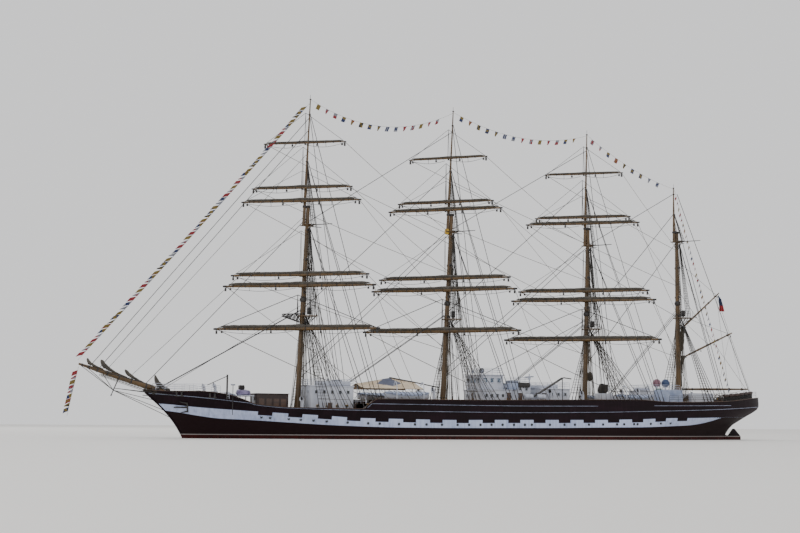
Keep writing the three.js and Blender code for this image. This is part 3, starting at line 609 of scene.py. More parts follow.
keelSet = {"low": (-51.8, -0.315, -6.8), "high": (33.2, 0.315, -6.45), "bossX": -48.5, "shaftY": 2.2,
    "shaftZ": -4.5, "gudgeons": (-5.6, -2.9, -0.4),
    "boss": [(0, 0), (0, 0.26), (0.4, 0.32), (13.2, 0.42), (14, 0)]}
bm = bmesh.new()
addBox(bm, keelSet["low"], keelSet["high"], soft=0.06)
for side in (1, -1):
    at = spot(keelSet["bossX"], side * keelSet["shaftY"], keelSet["shaftZ"])
    addTurned(bm, at, at + spot(1, 0, 0), keelSet["boss"], 20)
    addBox(bm, (-49.3, side * 0.3, -4.62), (-47.7, side * 2.1, -4.38), soft=0.04)
addBox(bm, (-51.97, -0.2, -6.5), (-51.6, 0.2, 0.8), soft=0.05)
for z in keelSet["gudgeons"]:
    addBox(bm, (-52.5, -0.28, z - 0.2), (-51.2, 0.28, z + 0.2), soft=0.05)
newPiece("keel_and_bossings", bm, ["keel"])
stemBar = [spot(readCurve(stemLine, -6.6 + i * 0.35) + 0.02, 0, -6.6 + i * 0.35) for i in range(38)]
newRopes("stem_bar", [stemBar], 0.13, "keel", 1)

# Mouldings along the sides: x, z rows. Their pale tone is partly moulding paint and partly painted highlight,
# the sky's glint along them

mouldings = {
    "sheer": [(-57, 5.5), (-53.3, 5.29), (-42.4, 4.8), (-32.3, 4.51), (-23, 4.26), (-5.5, 4.05), (10.9, 4.1),
        (21.8, 4.2), (26.3, 4.36), (33.4, 5.04), (40, 5.73), (46.2, 6.2)],
    "bridge": [(-22.6, 5.2), (-5.5, 5.05), (16, 5.1)],
    "poop": [(-49, 5.62), (-40.4, 5.48), (-33, 5.38)],
}


def mouldingLines(rows):
    steps = int((rows[-1][0] - rows[0][0]) / 0.7)
    xs = [rows[0][0] + (rows[-1][0] - rows[0][0]) * i / steps for i in range(steps + 1)]
    return [[onSide(x, min(readCurve(rows, x), railAt(x) - 0.12), side, 0.01) for x in xs]
        for side in (1, -1)]


newRopes("side_mouldings", [line for rows in mouldings.values() for line in mouldingLines(rows)], 0.04,
    "moulding", 1)

# Rail along the top of the bulwarks

railSet = {"width": 0.34, "thick": 0.08, "foreX": 46.4, "aftX": -57.6}


def byRail(x, side, inset, rise):  # a point beside the rail
    z = railAt(x)
    return spot(x, side * (halfBreadth(x, z) - inset), z + rise)


def railPoint(side):
    def place(u, v):
        x = railSet["aftX"] + (railSet["foreX"] - railSet["aftX"]) * (0.5 - 0.5 * cos(pi * u))
        return byRail(x, side, 0.06 - (v - 0.5) * railSet["width"], 0.05)
    return place


bm = bmesh.new()
for side in (1, -1):
    addMapped(bm, 150, 2, railPoint(side), thick=railSet["thick"])
newPiece("bulwark_rails", bm, ["teak"])

# Decks, with the bulkheads at their breaks

deckSpans = {"fore": (36.0, 47.0), "well": (16.0, 36.0), "bridge": (-58.0, 16.0)}


def deckPoint(name):
    start, end = deckSpans[name]

    def place(u, v):
        x = start + (end - start) * u
        z = readCurve(deckLines[name], x)
        return spot(x, (2 * v - 1) * max(halfBreadth(x, z) - 0.1, 0), z)
    return place


bm = bmesh.new()
for name in deckSpans:
    addMapped(bm, 90, 8, deckPoint(name), thick=0.1)
newPiece("decks", bm, ["deck"])

breaks = {"fore": (36.0, 3.35, 5.5, -0.12), "bridge": (16.0, 3.12, 5.12, 0.12)}  # x, low, high, and how it faces


def bulkheadPoint(x, low, high):
    def place(u, v):
        z = low + (high - low) * v
        return spot(x, (2 * u - 1) * (halfBreadth(x, z) - 0.13), z)
    return place


bm = bmesh.new()
for x, low, high, face in breaks.values():
    addMapped(bm, 12, 6, bulkheadPoint(x + face, low, high - 0.02), thick=0.12)
    for side in (-1, 1):
        addBox(bm, (x + face, side * 2.6 - 0.4, low + 0.15), (x + face * 1.6, side * 2.6 + 0.4, low + 1.95),
            1, 0.04)
        addRod(bm, (x + face * 1.8, side * 2.9, low + 1.05), (x + face * 2.4, side * 2.9, low + 1.05), 0.05,
            finish=2)
newPiece("deck_breaks", bm, ["white", "teak", "brass"])
print("decks and rails done")

# Portholes through the band

portholeRow = {"radius": 0.17, "share": 0.4, "stations": [
    31.0, 29.8, 27.2, 25.5, 23.7, 21.8, 18.75, 15.7, 13.95, 11.0, 8.5, 6.65, 4.15, 1.6, -0.3, -2.2, -4.05,
    -5.9, -7.85, -9.7, -10.9, -14.05, -16.6, -18.45, -20.95, -23.5, -26.05, -27.35, -29.2, -29.85, -32.4,
    -34.4, -36.4]}


def porthole(bm, x, z, side, radius):
    at = onSide(x, z, side)
    out = spot(halfBreadth(x - 0.5, z) - halfBreadth(x + 0.5, z), side, 0).normalized()
    addTurned(bm, at - out * 0.02, at + out, [(0, 0), (0.03, 0), (0.03, radius * 0.82), (0.07, radius * 0.84),
        (0.08, radius), (0.07, radius * 1.16), (0, radius * 1.2)], 12, 0)
    addTurned(bm, at, at + out, [(0, 0), (0.028, 0), (0.028, radius * 0.86), (0, radius * 0.86)], 12, 1)


bm = bmesh.new()
for x in portholeRow["stations"]:
    low, high = readCurve(bandFoot, x), readCurve(bandTop, x)
    for side in (1, -1):
        porthole(bm, x, low + (high - low) * portholeRow["share"], side, portholeRow["radius"])
newPiece("portholes", bm, ["iron", "glass"])

# Masts: each lower mast and topmast is one length, with a topgallant mast ahead of its head

mastRows = {
    "fore": {"x": 24.36, "rake": 2.3, "topZ": 17.9, "crosstreesZ": 31.4, "headZ": 34.3, "truckZ": 50.4},
    "main": {"x": 0.94, "rake": 2.7, "topZ": 18.3, "crosstreesZ": 31.9, "headZ": 34.7, "truckZ": 50.95},
    "mizzen": {"x": -24.36, "rake": 1.7, "topZ": 17.65, "crosstreesZ": 31.2, "headZ": 34.1, "truckZ": 49.5},
    "jigger": {"x": -42.56, "rake": 0.2, "topZ": 20.1, "crosstreesZ": 32.9, "headZ": 34.6, "truckZ": 41.9},
}
squareMasts = ("fore", "main", "mizzen")
yardTable = {
    "course": {"length": 25.2, "radius": 0.32, "arm": 0.77, "heights": (15.95, 16.35, 15.85)},
    "lower_topsail": {"length": 23.3, "radius": 0.3, "arm": 0.6, "heights": (22.3, 22.7, 22.2)},
    "upper_topsail": {"length": 21.1, "radius": 0.27, "arm": 0.57, "heights": (23.9, 24.5, 23.7)},
    "lower_topgallant": {"length": 18.4, "radius": 0.23, "arm": 0.4, "heights": (34.9, 35.2, 34.7)},
    "upper_topgallant": {"length": 15.5, "radius": 0.2, "arm": 0.36, "heights": (36.9, 36.4, 35.7)},
    "royal": {"length": 12.7, "radius": 0.16, "arm": 0.3, "heights": (43.7, 43.4, 42.9)},
}
lowerYards = ("course", "lower_topsail", "upper_topsail")
braceAngles = {"fore": 54.7, "main": 48.2, "mizzen": 53.2}
mastLook = {"footRadius": 0.43, "headRadius": 0.27, "heelRadius": 0.24, "truckRadius": 0.08, "step": 0.56,
    "pinGap": 0.3, "hoopEvery": 2.9, "sides": 24}
barrelLook = {"radius": 0.12, "height": 0.34, "lugThick": 0.08, "lugHalf": 0.13}
barrelRows = drum(-barrelLook["height"] / 2, barrelLook["height"] / 2, barrelLook["radius"])


def mastX(mast, z):
    return mast["x"] - tan(radians(mast["rake"])) * z


def upperX(mast, z):
    return mastX(mast, z) + mastLook["step"]


def footOf(mast):
    return max(deckAt(mast["x"] + d) for d in (-0.43, 0, 0.43))


def lowerRadius(mast, z):
    share = (z - footOf(mast)) / (mast["headZ"] - footOf(mast))
    return mastLook["footRadius"] + (mastLook["headRadius"] - mastLook["footRadius"]) * share


def upperRadius(mast, z):
    share = (z - mast["crosstreesZ"]) / (mast["truckZ"] - mast["crosstreesZ"])
    return mastLook["heelRadius"] + (mastLook["truckRadius"] - mastLook["heelRadius"]) * share


def pinX(mast, z, onLower, side=1):
    if onLower:
        return mastX(mast, z) + side * (lowerRadius(mast, z) + mastLook["pinGap"])
    return upperX(mast, z) + side * (upperRadius(mast, z) + mastLook["pinGap"])


def hooped(length, start, end, hoops, proud=0.028, high=0.16):  # a tapered pole with its hoops
    rows = [(0, 0), (0, start)]
    for at in hoops:
        r = start + (end - start) * at / length
        rows += drum(at - high / 2, at + high / 2, r + proud, r)
    return rows + [(length, end), (length, 0)]


def addLugs(bm, mast, z, onLower, side=1):
    axis = mastX(mast, z) if onLower else upperX(mast, z)
    reach = pinX(mast, z, onLower, side) + side * barrelLook["radius"]
    for way in (1, -1):
        inner = z + way * (barrelLook["height"] / 2 + 0.004)
        addBox(bm, (axis, -barrelLook["lugHalf"], inner),
            (reach, barrelLook["lugHalf"], inner + way * barrelLook["lugThick"]), 1, 0.02)


topLook = {"aft": -1.9, "fore": 0.7, "half": 1.6, "thick": 0.1, "battens": 9, "bracketDrop": 1.5,
    "railHigh": 1.05, "collar": [(0, 0.3), (0.1, 0.44), (0.4, 0.54), (0.7, 0.44), (0.8, 0.3)]}


def onMast(mast, z, dx=0.0, y=0.0):
    return spot(mastX(mast, z) + dx, y, z)


def onUpper(mast, z):
    return spot(upperX(mast, z), 0, z)


def buildTop(bm, mast):
    z = mast["topZ"]

    def place(u, v):
        half = topLook["half"] * (1 - u ** 3.2 * 0.75)
        return onMast(mast, z, topLook["aft"] + (topLook["fore"] - topLook["aft"]) * u, (2 * v - 1) * half)

    addMapped(bm, 12, 6, place, thick=topLook["thick"])
    for i in range(topLook["battens"]):
        u = (i + 0.5) / topLook["battens"]
        addBox(bm, place(u, 0.03) - spot(0.05, 0, 0), place(u, 0.97) + spot(0.05, 0, 0.04), 2)
    for side in (1, -1):
        for u in (0.08, 0.5):
            root = onMast(mast, z - topLook["bracketDrop"], 0, side * 0.28)
            addRod(bm, root, place(u, 0.5 + side * 0.47) - upward * 0.1, 0.05, 0.04, 8, 1)
        for u in (0.02, 0.35, 0.7):
            foot = place(u, 0.5 + side * 0.48)
            addRod(bm, foot, foot + upward * topLook["railHigh"], 0.025, finish=1)
    at = onMast(mast, z)
    addBox(bm, at + spot(-1.35, -0.3, 0.3), at + spot(-0.85, 0.3, 1.3), 1, 0.06)
    addRod(bm, at - spot(1.1, 0, 0), at + spot(-1.1, 0, 0.4), 0.06, finish=1)
    addTurned(bm, onMast(mast, z + 2), onMast(mast, z + 3), topLook["collar"], 20, 1)


def buildLowerMast(name, mast):
    bm = bmesh.new()
    start, end = onMast(mast, footOf(mast)), onMast(mast, mast["headZ"])
    length, every = (end - start).length, mastLook["hoopEvery"]
    hoops = [1.2 + i * every for i in range(int((length - 2) / every))]
    addTurned(bm, start, end, hooped(length, 0.43, 0.27, hoops), mastLook["sides"])
    addTurned(bm, start, end, [(0, 0.4), (0, 0.72), (0.1, 0.72), (0.16, 0.6), (0.45, 0.5), (0.5, 0.4)], 24, 3)
    addTurned(bm, start + upward * 1.15, end, drum(0, 0.1, 0.56, 0.4), 24, 1)
    buildTop(bm, mast)
    trees = onMast(mast, mast["crosstreesZ"])
    front = mastLook["step"] + 0.4
    for side in (1, -1):
        addBox(bm, trees + spot(-0.9, side * 0.34 - 0.07, -0.14),
            trees + spot(front, side * 0.34 + 0.07, -0.01), 0, 0.02)
        addRod(bm, trees + spot(-0.2, side * 0.6, -0.06), trees + spot(-3.1, side * 2.3, 0.15), 0.08, 0.05,
            10, 1)
        addRod(bm, trees + spot(0, side * 0.2, -1.5), trees + spot(-0.3, side, -0.14), 0.05, finish=1)
    for across in (-0.8, -0.2, 0.5):
        addBox(bm, trees + spot(across - 0.06, -1.1, -0.02), trees + spot(across + 0.06, 1.1, 0.09), 0, 0.02)
    for across in (-0.95, 0.95):
        addBox(bm, trees + spot(-0.8, across - 0.04, 0.03), trees + spot(0.5, across + 0.04, 0.11), 1)
    head = mast["headZ"]
    addBox(bm, end - spot(0.3, 0.3, 0.34), (upperX(mast, head) - upperRadius(mast, head) - 0.01, 0.3, head),
        1, 0.05)
    addTurned(bm, onUpper(mast, head) - upward * 0.3, onUpper(mast, head + 1) - upward * 0.3,
        drum(0, 0.28, 0.32, 0.2), 20, 1)
    jigger = name == "jigger"
    pins = spankerHeels if jigger else [yardTable[row]["heights"][squareMasts.index(name)]
        for row in lowerYards]
    for pin in pins:
        addLugs(bm, mast, pin, True, -1 if jigger else 1)
    return bm


def buildUpperMast(name, mast):
    bm = bmesh.new()
    low, high = mast["crosstreesZ"], mast["truckZ"]
    start, end = onUpper(mast, low), onUpper(mast, high)
    length = (end - start).length
    hoops = [0.4 + i * 2.4 for i in range(int((length - 1) / 2.4))]
    addTurned(bm, start, end, hooped(length, 0.24, 0.08, hoops, 0.02, 0.12), 20)
    addPost(bm, end, [(-0.02, 0), (-0.02, 0.1), (0.02, 0.17), (0.07, 0.18), (0.12, 0.12), (0.14, 0.03),
        (0.75, 0.02), (0.75, 0)], 14, 1)
    for row in yardTable if name != "jigger" else ():
        if row not in lowerYards:
            addLugs(bm, mast, yardTable[row]["heights"][squareMasts.index(name)], False)
    for share in (0.5, 0.88):
        at = onUpper(mast, low + (high - low) * share)
        r = upperRadius(mast, at.z)
        addPost(bm, at, drum(0, 0.07, r + 0.09, r), 16, 1)
        for side in (1, -1):
            addBox(bm, at + spot(-0.06, side * r - 0.05, -0.02),
                at + spot(0.06, side * (r + 0.16) + 0.05, 0.1), 1, 0.01)
    return bm

spankerRows = {
    "spanker_boom": {"heelZ": 8.3, "end": (-56.73, 8.51), "radius": 0.2},
    "spanker_lower_gaff": {"heelZ": 13.63, "end": (-53.63, 17.97), "radius": 0.17},
    "spanker_upper_gaff": {"heelZ": 18.61, "end": (-51.09, 24.66), "radius": 0.15},
}
spankerHeels = [row["heelZ"] for row in spankerRows.values()]
for name, mast in mastRows.items():
    newPiece(f"{name}_mast_lower", buildLowerMast(name, mast),
        ["spar", "iron", "teak", "white"], (f"{name}_lower_mast",))
    newPiece(f"{name}_mast_upper", buildUpperMast(name, mast), ["spar", "iron"],
        (f"{name}_upper_mast",))
print("masts done")

# Yards with their furled sails; each is drawn square across the ship about its barrel, then turned

sailLook = {"reach": 0.925, "swell": 0.1, "radius": 0.8, "ahead": 0.05, "lift": 1.0, "lump": 0.16,
    "gasket": 1.45, "pinch": 0.2, "steps": 110, "around": 14}
footropeLook = {"drop": 0.66, "abaft": 0.28, "gap": 3.3, "droop": 0.1}


def yardTurn(mastName, row):
    mast = mastRows[mastName]
    spec = yardTable[row]
    z = spec["heights"][squareMasts.index(mastName)]
    at = spot(pinX(mast, z, row in lowerYards), 0, z)
    return Matrix.Translation(at) @ Matrix.Rotation(radians(braceAngles[mastName]), 4, "Z")


def yardRadius(spec, share):
    return spec["radius"] * (0.4 + 0.5 * (1 - min(abs(share), 1) ** 1.7) ** 0.75)


def sailAt(spec, share, seed):  # centre height and radius of the furled sail at a share of the half length
    inner = max(min((sailLook["reach"] - abs(share)) / sailLook["swell"], 1), 0)
    along = share * spec["length"] / 2
    lump = noise.noise(spot(along * 0.9, seed, 0.0)) * sailLook["lump"]
    tuck = sailLook["pinch"] * max(cos(tau * along / sailLook["gasket"]), 0) ** 12
    bunt = 0.22 * exp(-(along / 1.1) ** 2)
    radius = spec["radius"] * sailLook["radius"] * inner ** 0.55 * (1 + lump - tuck + bunt)
    return spec["radius"] * sailLook["lift"] + bunt * 0.1, max(radius, 0.01)


def sailPoint(spec, seed):
    half = spec["length"] / 2

    def place(u, v):
        share = (2 * u - 1) * sailLook["reach"]
        z, radius = sailAt(spec, share, seed)
        turn = tau * (v % 1)
        fold = 1 + 0.09 * noise.noise(spot(share * half * 1.7, cos(turn) * 1.5, sin(turn) * 1.5 + seed))
        fold += 0.035 * sin(5 * turn + share * half * 0.8)
        flat = 0.82 if sin(turn) < 0 else 1.0
        return spot(spec["arm"] + sailLook["ahead"] + cos(turn) * radius * fold * 1.04, share * half,
            z + sin(turn) * radius * fold * flat)
    return place


def buildYard(spec):
    bm = bmesh.new()
    half, arm, steps = spec["length"] / 2, spec["arm"], 24
    rows = [(spec["length"] * i / steps, yardRadius(spec, 2 * i / steps - 1)) for i in range(steps + 1)]
    addTurned(bm, (arm, -half, 0), (arm, half, 0), [(0, 0), *rows, (spec["length"], 0)], 16)
    for side in (1, -1):
        for share in (0.12, 0.3, 0.5, 0.7, 0.86):
            r = yardRadius(spec, share)
            at = spot(arm, side * share * half, 0)
            addTurned(bm, at, at + spot(0, 1, 0), drum(-0.06, 0.06, r + 0.025, r), 16, 1)
        tip = spot(arm, side * half * 0.955, 0)
        r = yardRadius(spec, 0.955)
        addTurned(bm, tip, tip + spot(0, side, 0), [(0, r), (0, r + 0.03), (half * 0.045, r * 0.8 + 0.02),
            (half * 0.045 + 0.02, 0)], 12, 1)
        for share, drop, size in ((0.965, 0.1, 0.5), (0.9, 0.14, 0.32), (0.3, 0.08, 0.32)):
            top = spot(arm - 0.02, side * half * share, -yardRadius(spec, share) * 0.9)
            addRod(bm, top, top - upward * drop, 0.03, finish=1)
            addBox(bm, top - spot(0.09, 0.14, drop + size), top + spot(0.09, 0.14, -drop), 1, 0.05)
        addRod(bm, (0.06, side * 0.06, 0), (arm, side * 0.62, 0), 0.05, finish=1)
    addBox(bm, (0, -0.08, -0.1), (arm, 0.08, 0.1), 1, 0.02)
    addPost(bm, (0, 0, 0), barrelRows, 16, 1)
    return bm


def footropeLines(spec):
    half, arm = spec["length"] / 2, spec["arm"]
    jack, lines = yardRadius(spec, 0.4) + 0.05, []
    for side in (1, -1):
        count = max(int(half / footropeLook["gap"]), 2)
        hung = [spot(arm - footropeLook["abaft"], side * half * (0.06 + 0.89 * i / count),
            -footropeLook["drop"])
            for i in range(count + 1)]
        hung[-1] = spot(arm, side * half * 0.975, -0.1)
        hung[0] = spot(arm - 0.1, side * 0.5, -0.35)
        lines.append([point for pair in zip(hung, hung[1:])
            for point in slack(*pair, footropeLook["droop"], 5)])
        lines += [[spot(arm - 0.05, at.y, -0.05), at] for at in hung[1:-1]]
        lines.append([spot(arm - 0.02, side * 0.2, jack), spot(arm - 0.02, side * half * 0.93, jack * 0.75)])
    return lines


def gasketLines(spec, seed):
    half, gap, lines = spec["length"] / 2, sailLook["gasket"], []
    count = int(half * sailLook["reach"] / gap)
    for i in range(-count, count + 1):
        share = i * gap / half
        z, radius = sailAt(spec, share, seed)
        if radius < 0.05:
            continue
        low = min(-yardRadius(spec, share) - 0.02, z - radius)
        middle, tall = (z + radius + low) / 2 + 0.01, (z + radius - low) / 2 + 0.03
        wide = max(radius * 1.04, yardRadius(spec, share)) + 0.03
        lines.append([spot(spec["arm"] + 0.03 + cos(tau * k / 12) * wide, i * gap,
            middle + sin(tau * k / 12) * tall)
            for k in range(13)])
    return lines


def moved(matrix, lines):
    return [[matrix @ point for point in line] for line in lines]


for mastName in squareMasts:
    for row, spec in yardTable.items():
        body, turn = f"{mastName}_{row}_yard", yardTurn(mastName, row)
        seed = squareMasts.index(mastName) * 7.3 + list(yardTable).index(row) * 1.9
        bm = buildYard(spec)
        ops.transform(bm, matrix=turn, verts=bm.verts)
        newPiece(f"{body}_spar", bm, ["spar", "iron"], (body,), body)
        bm = bmesh.new()
        addRolled(bm, sailLook["steps"], sailLook["around"], sailPoint(spec, seed))
        ops.transform(bm, matrix=turn, verts=bm.verts)
        sail = newPiece(f"{mastName}_{row}_sail", bm, ["sail"], body=body, crease=80)
        newRopes(f"{body}_footropes", moved(turn, footropeLines(spec)), 0.03, body=body)
        newRopes(f"{body}_gaskets", moved(turn, gasketLines(spec, seed)), 0.022, "rope", body=body)
print("yards done")

# Standing rigging

shroudLook = {
    "feet": (1.3, 1.9, 2.5, 3.2, 4.2, 5.3, 6.4), "jiggerFeet": (0.6, 1.3, 2.0, 2.7, 3.4), "climbed": 4,
    "topmastBackstays": (8.0, 8.6), "topgallantBackstays": (9.3, 9.9), "royalBackstays": (10.6,),
    "jiggerBackstays": (4.3, 4.8), "jiggerUpperBackstays": (5.4,),
    "wire": 0.048, "ratline": 0.024, "step": 0.42, "inboard": 0.14,
}


def railFoot(x, side):
    return byRail(x, side, shroudLook["inboard"], 0.08)


def ratlinesBetween(lines, low, high):
    rungs = []
    for i in range(int((high - low) / shroudLook["step"])):
        z = low + i * shroudLook["step"]
        shares = [(foot, head, (z - foot.z) / (head.z - foot.z)) for foot, head in lines]
        rung = [foot.lerp(head, share) for foot, head, share in shares if -0.02 <= share <= 1]
        if len(rung) > 1:
            rungs.append(rung)
    return rungs


screwHeads = []
for name, mast in mastRows.items():
    jigger = name == "jigger"
    wires, rungs = [], []
    topZ, treesZ, truckZ = mast["topZ"], mast["crosstreesZ"], mast["truckZ"]
    houndsZ = treesZ + (truckZ - treesZ) * 0.5
    royalZ = treesZ + (truckZ - treesZ) * 0.88
    for side in (1, -1):
        lower = [(railFoot(mast["x"] - off, side),
            onMast(mast, topZ, -0.42 - 0.03 * i, side * 0.34) - upward * (0.12 + 0.05 * i))
            for i, off in enumerate(shroudLook["jiggerFeet" if jigger else "feet"])]
        top = [(onMast(mast, topZ, 0.32 * i - 1.8, side * 1.2),
            onMast(mast, treesZ, 0.05 * i - 0.4, side * 0.26) - upward * 0.35) for i in range(4)]
        high = [(onMast(mast, treesZ, 0.3 * i - 0.95, side * 0.85) + upward * 0.05,
            onUpper(mast, houndsZ) + spot(0.03 * i - 0.05, side * 0.15, 0)) for i in range(3)]
        futtocks = [(onMast(mast, topZ - 2.1, 0, side * 0.36),
            onMast(mast, topZ, 0.5 * i - 1.7, side * 1.3) - upward * 0.08)
            for i in range(3)]
        wires += lower + top + high + futtocks
        rungs += ratlinesBetween(lower[:shroudLook["climbed"]], lower[0][0].z + 1.25, topZ - 0.9)
        rungs += ratlinesBetween(top, topZ + 0.7, treesZ - 1.2)
        rungs += ratlinesBetween(high, treesZ + 0.6, houndsZ - 0.6)
        backstays = [("jiggerBackstays" if jigger else "topmastBackstays",
            onMast(mast, treesZ, -0.25, side * 0.27) - upward * 0.1),
            ("jiggerUpperBackstays" if jigger else "topgallantBackstays",
            onUpper(mast, houndsZ) + spot(-0.1, side * 0.16, 0.05))]
        if not jigger:
            backstays.append(("royalBackstays", onUpper(mast, royalZ) + spot(-0.08, side * 0.13, 0)))
        held = [(railFoot(mast["x"] - off, side), head) for key, head in backstays for off in shroudLook[key]]
        wires += held
        screwHeads += held + lower
        rungs.append([foot.lerp(head, 1.2 / (head.z - foot.z)) for foot, head in lower])
    newRopes(f"{name}_shrouds", wires, shroudLook["wire"], fine=1)
    newRopes(f"{name}_ratlines", rungs, shroudLook["ratline"], "rope")

bm = bmesh.new()
pattern = addPost(bm, (0, 0, 0), [(-0.35, 0), (-0.35, 0.035), (0, 0.035), (0.05, 0.075), (0.75, 0.075),
    (0.8, 0.035), (1, 0.035), (1, 0)], 8)
stampAll(bm, pattern, [aimed(foot, head) for foot, head in screwHeads])
newPiece("rigging_screws", bm, ["iron"])


def onBowsprit(x, up=0.0):
    slope, tipX, tipZ = 0.31, 55.97, 10.1
    return spot(x, 0, tipZ - slope * (tipX - x) + up)


def frontOf(name, z):
    mast = mastRows[name]
    if z > mast["headZ"]:
        return spot(upperX(mast, z) + upperRadius(mast, z), 0, z)
    return spot(mastX(mast, z) + lowerRadius(mast, z), 0, z)


def backOf(name, z):
    mast = mastRows[name]
    return spot(mastX(mast, z) - lowerRadius(mast, min(z, mast["headZ"])), 0, z)


def pairOf(start, end, apart):
    return [[Vector(at) + spot(0, side * apart, 0) for at in (start, end)] for side in (1, -1)]


staySet = {
    # the mast that a stay runs down from, its height there, and its foot on the bowsprit as x and rise
    "bowsprit": [(47.5, 54.4, 0.2), (45.6, 53.2, 0.24), (32.3, 46.6, 0.35)],
    # the mast, the height on it, the mast ahead, and the height there
    "between": [("main", 31.5, "fore", 9.0), ("main", 32.3, "fore", 10.2), ("main", 41.3, "fore", 19.2),
        ("main", 47.6, "fore", 32.0), ("mizzen", 30.8, "main", 9.6), ("mizzen", 31.6, "main", 10.8),
        ("mizzen", 40.8, "main", 19.6), ("mizzen", 46.8, "main", 32.4), ("jigger", 32.6, "mizzen", 12.2),
        ("jigger", 37.4, "mizzen", 19.0), ("jigger", 40.9, "mizzen", 31.4)],
}
stayWires = [
    *[[frontOf("fore", z), onBowsprit(x, up)] for z, x, up in staySet["bowsprit"]],
    *pairOf(frontOf("fore", 18.7), onBowsprit(44.9, 0.2), 0.33),
    *pairOf(frontOf("main", 18.9), (16.7, 0, 7.9), 0.3),
    *pairOf(frontOf("mizzen", 18.4), (-11.6, 0, 8.75), 0.3),
    [frontOf("mizzen", 18.9), spot(-6.4, 0, 10.0)],
    *pairOf(frontOf("jigger", 20.8), (-27.6, 0, 5.3), 0.3),
    *[[frontOf(name, z), backOf(ahead, low)] for name, z, ahead, low in staySet["between"]],
    [backOf("jigger", 33.4) + spot(0.1, 0, 7.6), spot(-57.2, 0, 7.5)],
]
newRopes("stay_wires", stayWires, 0.048, fine=1)
foreTruss = {"root": 0.35, "reach": 2.7, "high": (18.2, 18.05), "low": (16.95, 17.75), "half": 0.3, "bays": 5}


def trussPoint(share, level, side):
    start, end = foreTruss[level]
    x = mastX(mastRows["fore"], start) + foreTruss["root"] + foreTruss["reach"] * share
    return spot(x, side * foreTruss["half"], start + (end - start) * share)


trussBars = [[trussPoint(share, "high", side) for side in (1, -1)] for share in (0, 0.5, 1)]
for side in (1, -1):
    trussBars += [[trussPoint(share, level, side) for share in (0, 1)] for level in ("high", "low")]
    for i in range(foreTruss["bays"]):
        ends = (i / foreTruss["bays"], (i + 1) / foreTruss["bays"])
        trussBars += [[trussPoint(ends[0], a, side), trussPoint(ends[1], b, side)]
            for a, b in (("high", "low"), ("low", "high"))]
newRopes("fore_top_truss", trussBars, 0.055, "iron", fine=1)

mastLamp = {"z": 31.45, "ahead": 0.62, "lens": [(0, 0), (0, 0.22), (0.1, 0.34), (0.5, 0.4), (0.85, 0.3),
    (0.95, 0)]}
bm = bmesh.new()
at = onMast(mastRows["main"], mastLamp["z"], mastLamp["ahead"])
addPost(bm, at, mastLamp["lens"], 18)
addRod(bm, at + spot(-0.5, 0, 0.1), at + spot(0, 0, 0.1), 0.06, finish=1)
newPiece("mast_lamp", bm, ["yellow", "iron"])
keptNodes = {"wire": ("fore_stay", "fore_topmast_stay", "fore_topgallant_stay", "main_stay", "mizzen_stay",
    "jigger_stay"), "iron": ("anchor_port", "anchor_starboard")}
for look, nodes in keptNodes.items():
    for node in nodes:
        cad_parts[node].data.materials.clear()
        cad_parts[node].data.materials.append(finishes[look])
print("standing rigging done")

# Spanker boom and gaffs, with the brailed sail along the jigger mast

spankerLook = {"jaw": 0.45, "hoops": (0.12, 0.3, 0.5, 0.7, 0.9), "sides": 16}
jigger = mastRows["jigger"]


def spankerHeel(row):
    return spot(pinX(jigger, row["heelZ"], True, -1), 0, row["heelZ"])


for name, row in spankerRows.items():
    heel, end, radius = spankerHeel(row), spot(row["end"][0], 0, row["end"][1]), row["radius"]
    run = (end - heel).normalized()
    start = heel - spot(spankerLook["jaw"], 0, 0)
    length = (end - start).length
    bm = bmesh.new()
    addTurned(bm, start, end, [(0, 0), (0, radius * 0.8), (length * 0.33, radius),
        (length * 0.67, radius * 0.85), (length - 0.05, radius * 0.6), (length, radius * 0.5), (length, 0)],
        spankerLook["sides"])
    for share in spankerLook["hoops"]:
        at = start.lerp(end, share)
        addTurned(bm, at, at + run, drum(-0.06, 0.06, radius + 0.03), 16, 1)
    addBox(bm, heel - spot(0.5, 0.08, 0.1), heel + spot(0, 0.08, 0.1), 1, 0.02)
    for side in (1, -1):
        cheek = side * radius * 0.75
        addBox(bm, heel + spot(-0.9, cheek - 0.03, -0.12), heel + spot(-0.35, cheek + 0.03, 0.12), 1, 0.02)
    addPost(bm, heel, barrelRows, 16, 1)
    for share, drop in ((0.97, 0.5), (0.62, 0.45), (0.35, 0.4)):
        at = start.lerp(end, share) - upward * radius * 0.8
        addRod(bm, at, at - upward * drop * 0.5, 0.02, finish=1)
        addBox(bm, at - spot(0.07, 0.06, drop), at + spot(0.07, 0.06, -drop * 0.45), 1, 0.03)
    newPiece(f"{name}_spar", bm, ["spar", "iron"], (name,), name)

brailLook = {
    # height, place abaft the mast's axis, radius
    "bundle": [(8.7, 0.55, 0.12), (10.5, 0.55, 0.16), (12.2, 0.62, 0.22), (13.2, 0.85, 0.38),
        (13.9, 1.1, 0.4)], "throat": [(14.6, 0.7, 0.3), (15.8, 0.72, 0.44), (17.0, 0.78, 0.5),
        (18.0, 0.95, 0.4), (18.9, 1.15, 0.22)], "steps": 46, "around": 14, "fold": 0.2,
}


def brailPoint(rows, seed):
    def place(u, v):
        z = rows[0][0] + (rows[-1][0] - rows[0][0]) * u
        turn = tau * (v % 1)
        ends = min(min(u, 1 - u) / 0.05, 1) ** 0.5
        radius = readCurve(rows, z, 2) * (0.35 + 0.65 * ends)
        fold = 1 + brailLook["fold"] * sin(7 * turn + 1.3 * sin(z * 1.9 + seed)) * 0.5
        fold += 0.16 * noise.noise(spot(cos(turn), sin(turn), z * 0.8 + seed))
        fold *= 1 - 0.2 * max(cos(tau * z / 1.2), 0) ** 10
        return spot(mastX(jigger, z) - readCurve(rows, z, 1) + cos(turn) * radius * fold * 0.8,
            sin(turn) * radius * fold, z)
    return place


